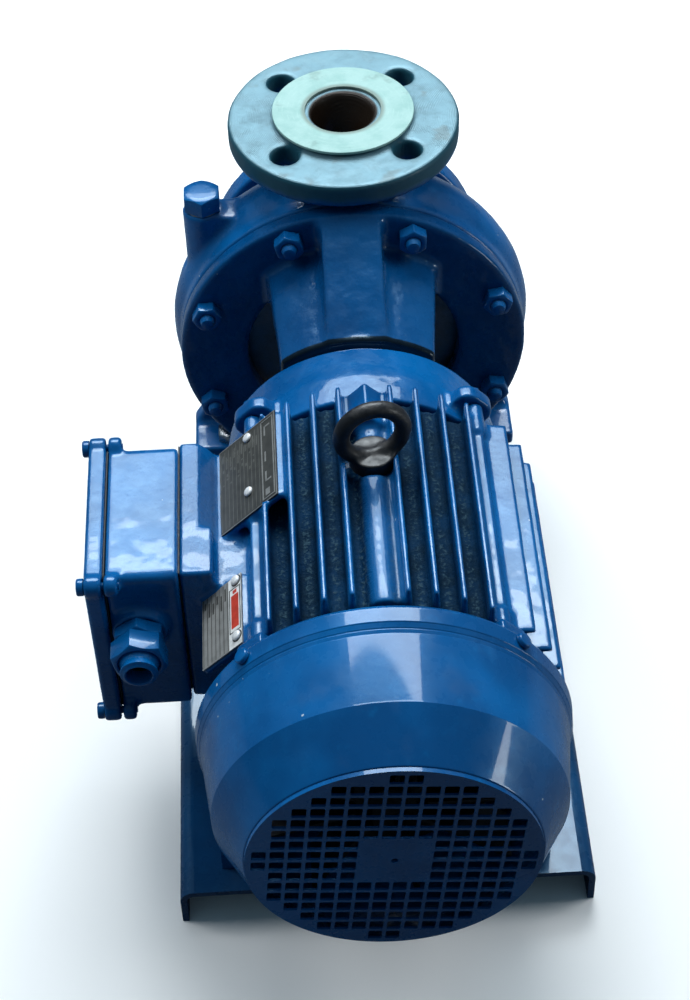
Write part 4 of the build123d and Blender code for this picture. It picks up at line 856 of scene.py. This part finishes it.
def make_gland():
    """Gland body and its domed nut, both hexagons with chamfered corners."""
    low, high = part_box("gland_nut")
    axis = Vector(((low.x + high.x) / 2, 0, (low.z + high.z) / 2))
    nut_foot = axis + Vector((0, high.y, 0))
    length = (high.y - low.y) / MM
    dome = rounded([(GLAND_MOUTH, 9), (GLAND_DOME, 9), (GLAND_DOME, 16.5), (GLAND_DOME_END, length),
                    (GLAND_MOUTH, length)], [0, 0, 5.0, 2.2, 0.8])
    nut = joined([hexagon(GLAND_NUT_FLATS, GLAND_NUT_HEX, GLAND_NUT_BORE), lathe(dome, 48)])
    show("gland_nut_made", baked(placed(nut, nut_foot, TOWARDS_FAN, 0.25), bevel(0.0004)), ["gland_nut"])
    foot = axis + Vector((0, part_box("cable_gland")[1].y, 0))
    thread = (foot.y - nut_foot.y) / MM - GLAND_COLLAR
    collar_foot = nut_foot + COLLAR_BEHIND_NUT
    body = joined([placed(hexagon(GLAND_FLATS, GLAND_COLLAR, GLAND_BORE), collar_foot, TOWARDS_FAN, 0.05),
                   placed(tube(GLAND_BORE, GLAND_THREAD, thread), foot, TOWARDS_FAN),
                   placed(tube(GLAND_BORE, GLAND_SLEEVE, GLAND_SLEEVE_LENGTH), collar_foot, TOWARDS_FAN)])
    show("cable_gland_made", baked(body, bevel(0.0003)), ["cable_gland"])


def make_sheet_edges():
    """Soft edges on the folded and flat pieces that stay as designed."""
    for name in ("base_frame", "packing_bars", "discharge_gasket", "cover_gasket"):
        weld = NODES[name].modifiers.new("weld", "WELD")
        weld.merge_threshold = 1e-6
        edge = NODES[name].modifiers.new("edge", "BEVEL")
        edge.width = 0.0004
        edge.segments = 2
        edge.limit_method = "ANGLE"
        edge.angle_limit = 0.7
        edge.harden_normals = False


# ------------------------------------------------------------------ nameplates
PLATE_ACROSS = Vector((1, 0, 1)).normalized()
PLATE_OUT = Vector((-1, 0, 1)).normalized()


def slab(centre, u, v, low, high, material):
    """Flat block on a nameplate: u runs across, v towards the fan, low..high is its height; millimetres."""
    made = bmesh.new()
    bmesh.ops.create_cube(made, size=1)
    for vert in made.verts:
        across = u[0] + (u[1] - u[0]) * (vert.co.x + 0.5)
        along = v[0] + (v[1] - v[0]) * (vert.co.y + 0.5)
        rise = low + (high - low) * (vert.co.z + 0.5)
        vert.co = centre + (PLATE_ACROSS * across + TOWARDS_FAN * along + PLATE_OUT * rise) * MM
    for face in made.faces:
        face.material_index = material
    bmesh.ops.recalc_face_normals(made, faces=made.faces)
    mesh = bpy.data.meshes.new("slab")
    made.to_mesh(mesh)
    made.free()
    return mesh


def frame_slabs(centre, u, v, width, low, high, material):
    """Four strips around a rectangle."""
    return [slab(centre, (u[0], u[0] + width), v, low, high, material),
            slab(centre, (u[1] - width, u[1]), v, low, high, material),
            slab(centre, (u[0] + width, u[1] - width), (v[0], v[0] + width), low, high, material),
            slab(centre, (u[0] + width, u[1] - width), (v[1] - width, v[1]), low, high, material)]


def ruled_lines(centre, u, v, pitch, material):
    """Thin etched rules along the shaft with a few short strokes between them."""
    parts = []
    rows = int((u[1] - u[0]) / pitch)
    for row in range(rows + 1):
        at = u[0] + row * pitch
        parts.append(slab(centre, (at, at + 0.45), v, 0.3, 0.42, material))
        start = v[0] + 3.0 + (row * 7) % 5
        stop = min(start + 5.0 + (row * 5) % 7, v[1] - 2)
        if row < rows:
            parts.append(slab(centre, (at + 1.2, at + pitch - 0.9), (start, stop), 0.3, 0.38, material))
    return parts


BLOCK_STEP = 4.0


def worn_blocks(centre, u, v, pitch, material):
    """Rows of faint unreadable blocks."""
    parts = []
    for row in range(int((u[1] - u[0]) / pitch)):
        at = u[0] + row * pitch
        for step in range(int((v[1] - v[0]) / BLOCK_STEP)):
            if (row * 3 + step * 5) % 7 < 3:
                start = v[0] + step * BLOCK_STEP + (row % 3) * 0.8
                stop = start + 1.4 + (row + step) % 2
                parts.append(slab(centre, (at, at + pitch * 0.4), (start, stop), 0.3, 0.36, material))
    return parts


# start, end and width of the plain bars on the bordered strip
PLATE_BARS = ((-27, -19, 1.2), (-27, -25.8, 5.0), (-6, 2, 1.2), (10, 18, 1.2), (16.8, 18, 5.0),
              (24, 29, 3.5))


def make_motor_plate():
    """Dark etched plate: bordered strip at the ridge side, ruled table on the outer side."""
    low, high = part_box("motor_nameplate")
    centre = (low + high) / 2
    parts = [slab(centre, (-24.5, 24.5), (-34, 34), -0.5, 0.3, 0)]
    parts += frame_slabs(centre, (-24.3, 24.3), (-33.8, 33.8), 0.5, 0.3, 0.5, 1)
    parts += frame_slabs(centre, (12.5, 22.8), (-31.5, 31.5), 0.7, 0.3, 0.6, 1)
    parts += ruled_lines(centre, (-23.0, 10.0), (-31, 32), 3.3, 2)
    parts += worn_blocks(centre, (-21.5, 9.5), (-29, 2), 3.3, 2)
    for start, stop, width in PLATE_BARS:
        parts.append(slab(centre, (15.0, 15.0 + width), (start, stop), 0.3, 0.42, 1))
    show("motor_nameplate_made", joined(parts), ["motor_nameplate"], PLATE, PLATE_LINE, PLATE_FAINT)


def ring_slab(centre, u, v, inner, outer, low, high, material):
    """Flat ring on a nameplate."""
    ring = lathe([(inner, low), (outer, low), (outer, high), (inner, high)], 32)
    rotation = Matrix((PLATE_ACROSS, TOWARDS_FAN, PLATE_OUT)).transposed().to_4x4()
    middle = centre + (PLATE_ACROSS * u + TOWARDS_FAN * v) * MM
    ring.transform(Matrix.Translation(middle) @ rotation)
    for face in ring.polygons:
        face.material_index = material
    return ring


def make_pump_plate():
    """Grey ruled plate with a white printed band, a red block and black rings at the rivets."""
    low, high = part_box("pump_nameplate")
    centre = (low + high) / 2
    parts = [slab(centre, (-16.5, 16.5), (-25.5, 25.5), -0.5, 0.3, 1)]
    parts.append(slab(centre, (6.0, 16.3), (-25.3, 25.3), 0.3, 0.38, 2))
    parts += frame_slabs(centre, (6.6, 15.8), (-17.5, 14.5), 0.6, 0.38, 0.48, 4)
    parts.append(slab(centre, (8.2, 14.2), (-12.5, 11.5), 0.38, 0.46, 3))
    parts.append(slab(centre, (9.6, 12.8), (-16.0, -13.5), 0.38, 0.46, 3))
    for v in (-21.9, 18.5):
        parts.append(ring_slab(centre, 12.5, v, 3.0, 3.8, 0.38, 0.48, 4))
    parts += ruled_lines(centre, (-15.6, 5.0), (-24.5, 24.5), 3.4, 0)
    show("pump_nameplate_made", joined(parts), ["pump_nameplate"],
         PLATE, PLATE_LINE, PLATE_WHITE, PLATE_RED, PLATE_BLACK)


make_castings()
make_casing_bolts()
make_screws()
make_cowl()
make_round_screws()
make_gland()
make_sheet_edges()
make_motor_plate()
make_pump_plate()
make_rivets()

# ------------------------------------------------------------------ stage, light and camera
FLOOR_Z = CAD_BOX[0].z - 0.0002


def stage_material():
    """Pale floor; it throws little light back on the pump."""
    look = Look("pale_floor")
    seen = look.node("LightPath").outputs["Is Camera Ray"]
    pale = look.mix(look.noise(3, 2), (0.93, 0.92, 0.90), (0.96, 0.95, 0.93))
    look.set(Base_Color=look.mix(seen, (0.10, 0.12, 0.14), pale), Roughness=0.7)
    return look.material


def make_floor():
    """A wide floor that sweeps up behind the pump."""
    across, near, far, rise = 6.0, -5.0, 4.5, 4.0
    bend = 1.5
    points = [(near, 0.0), (far, 0.0)]
    points += [(far + bend * math.sin(a), bend * (1 - math.cos(a)))
               for a in [math.pi / 2 * i / 16 for i in range(1, 17)]]
    points.append((far + bend, rise))
    verts = [(side * across, y, FLOOR_Z + z) for y, z in points for side in (-1, 1)]
    faces = [(2 * i, 2 * i + 1, 2 * i + 3, 2 * i + 2) for i in range(len(points) - 1)]
    mesh = bpy.data.meshes.new("floor")
    mesh.from_pydata(verts, [], faces)
    mesh.shade_smooth()
    floor = bpy.data.objects.new("floor", mesh)
    bpy.context.scene.collection.objects.link(floor)
    dress(floor, stage_material())


def soft_box(name, place, size, power, colour=(1.0, 1.0, 1.0), glossy=True, diffuse=True):
    """Rectangular light aimed at the pump; it can be left out of reflections or of diffuse light."""
    light = bpy.data.lights.new(name, "AREA")
    light.shape = "RECTANGLE"
    light.size, light.size_y = size
    light.energy = power
    light.color = colour
    box = bpy.data.objects.new(name, light)
    box.location = place
    box.rotation_mode = "QUATERNION"
    box.rotation_quaternion = (LIGHT_TARGET - Vector(place)).to_track_quat("-Z", "Y")
    box.visible_glossy = glossy
    box.visible_diffuse = diffuse
    bpy.context.scene.collection.objects.link(box)


LIGHT_TARGET = Vector((0.0, -0.25, 0.0))
SKY_COLOUR = (0.45, 0.76, 1.0, 1.0)


def make_sky():
    """Sky that is brighter high up and beyond the pump, and dim from the camera's side and from below."""
    world = bpy.data.worlds.new("studio")
    bpy.context.scene.world = world
    world.use_nodes = True
    tree = world.node_tree
    background = tree.nodes["Background"]
    background.inputs[0].default_value = SKY_COLOUR
    way = tree.nodes.new("ShaderNodeTexCoord")
    towards = tree.nodes.new("ShaderNodeVectorMath")
    towards.operation = "DOT_PRODUCT"
    towards.inputs[1].default_value = (0.0, 0.45, 0.89)
    tree.links.new(way.outputs["Generated"], towards.inputs[0])
    level = tree.nodes.new("ShaderNodeMapRange")
    for key, value in enumerate((-0.5, 1.0, 0.02, 0.32)):
        level.inputs[key + 1].default_value = value
    tree.links.new(towards.outputs["Value"], level.inputs[0])
    tree.links.new(level.outputs[0], background.inputs[1])


def make_light():
    """Sky and soft boxes; each box with its place, size, power and colour."""
    make_sky()
    soft_box("overhead", (-0.1, 0.9, 2.2), (1.3, 1.3), 36, (0.95, 0.98, 1.0), glossy=False)
    soft_box("left_high", (-1.9, 0.1, 1.6), (1.0, 1.6), 28, (0.95, 0.98, 1.0), glossy=False)
    soft_box("right_high", (1.9, 0.1, 1.6), (1.0, 1.6), 30, (0.95, 0.98, 1.0), glossy=False)
    soft_box("far_sky", (0.0, 2.3, 2.75), (3.2, 1.0), 84, (0.80, 0.92, 1.0))
    soft_box("high_strip", (0.1, 1.45, 2.9), (2.3, 1.1), 100, (0.90, 0.96, 1.0), diffuse=False)
    soft_box("right_window", (2.2, -1.12, 0.25), (0.4, 0.9), 11, (0.95, 1.0, 1.0), diffuse=False)


CAMERA_PLACE = Vector((-0.0374, -1.1675, 0.9633))
CAMERA_PITCH, CAMERA_YAW, CAMERA_ROLL = 0.815, -0.027, -0.034
CAMERA_LENS = 76.35


def make_camera():
    """Stands above and behind the fan cowl."""
    ahead = Vector((-math.sin(CAMERA_YAW) * math.cos(CAMERA_PITCH),
                    math.cos(CAMERA_YAW) * math.cos(CAMERA_PITCH), -math.sin(CAMERA_PITCH)))
    level = Vector((math.cos(CAMERA_YAW), math.sin(CAMERA_YAW), 0))
    up = level.cross(ahead)
    right = math.cos(CAMERA_ROLL) * level + math.sin(CAMERA_ROLL) * up
    up = -math.sin(CAMERA_ROLL) * level + math.cos(CAMERA_ROLL) * up
    data = bpy.data.cameras.new("camera")
    data.sensor_width = 36
    data.lens = CAMERA_LENS
    camera = bpy.data.objects.new("camera", data)
    turned = Matrix((right, up, -ahead)).transposed().to_4x4()
    camera.matrix_world = Matrix.Translation(CAMERA_PLACE) @ turned
    bpy.context.scene.collection.objects.link(camera)
    bpy.context.scene.camera = camera


make_floor()
make_light()
make_camera()
bpy.context.scene.view_settings.view_transform = "Standard"
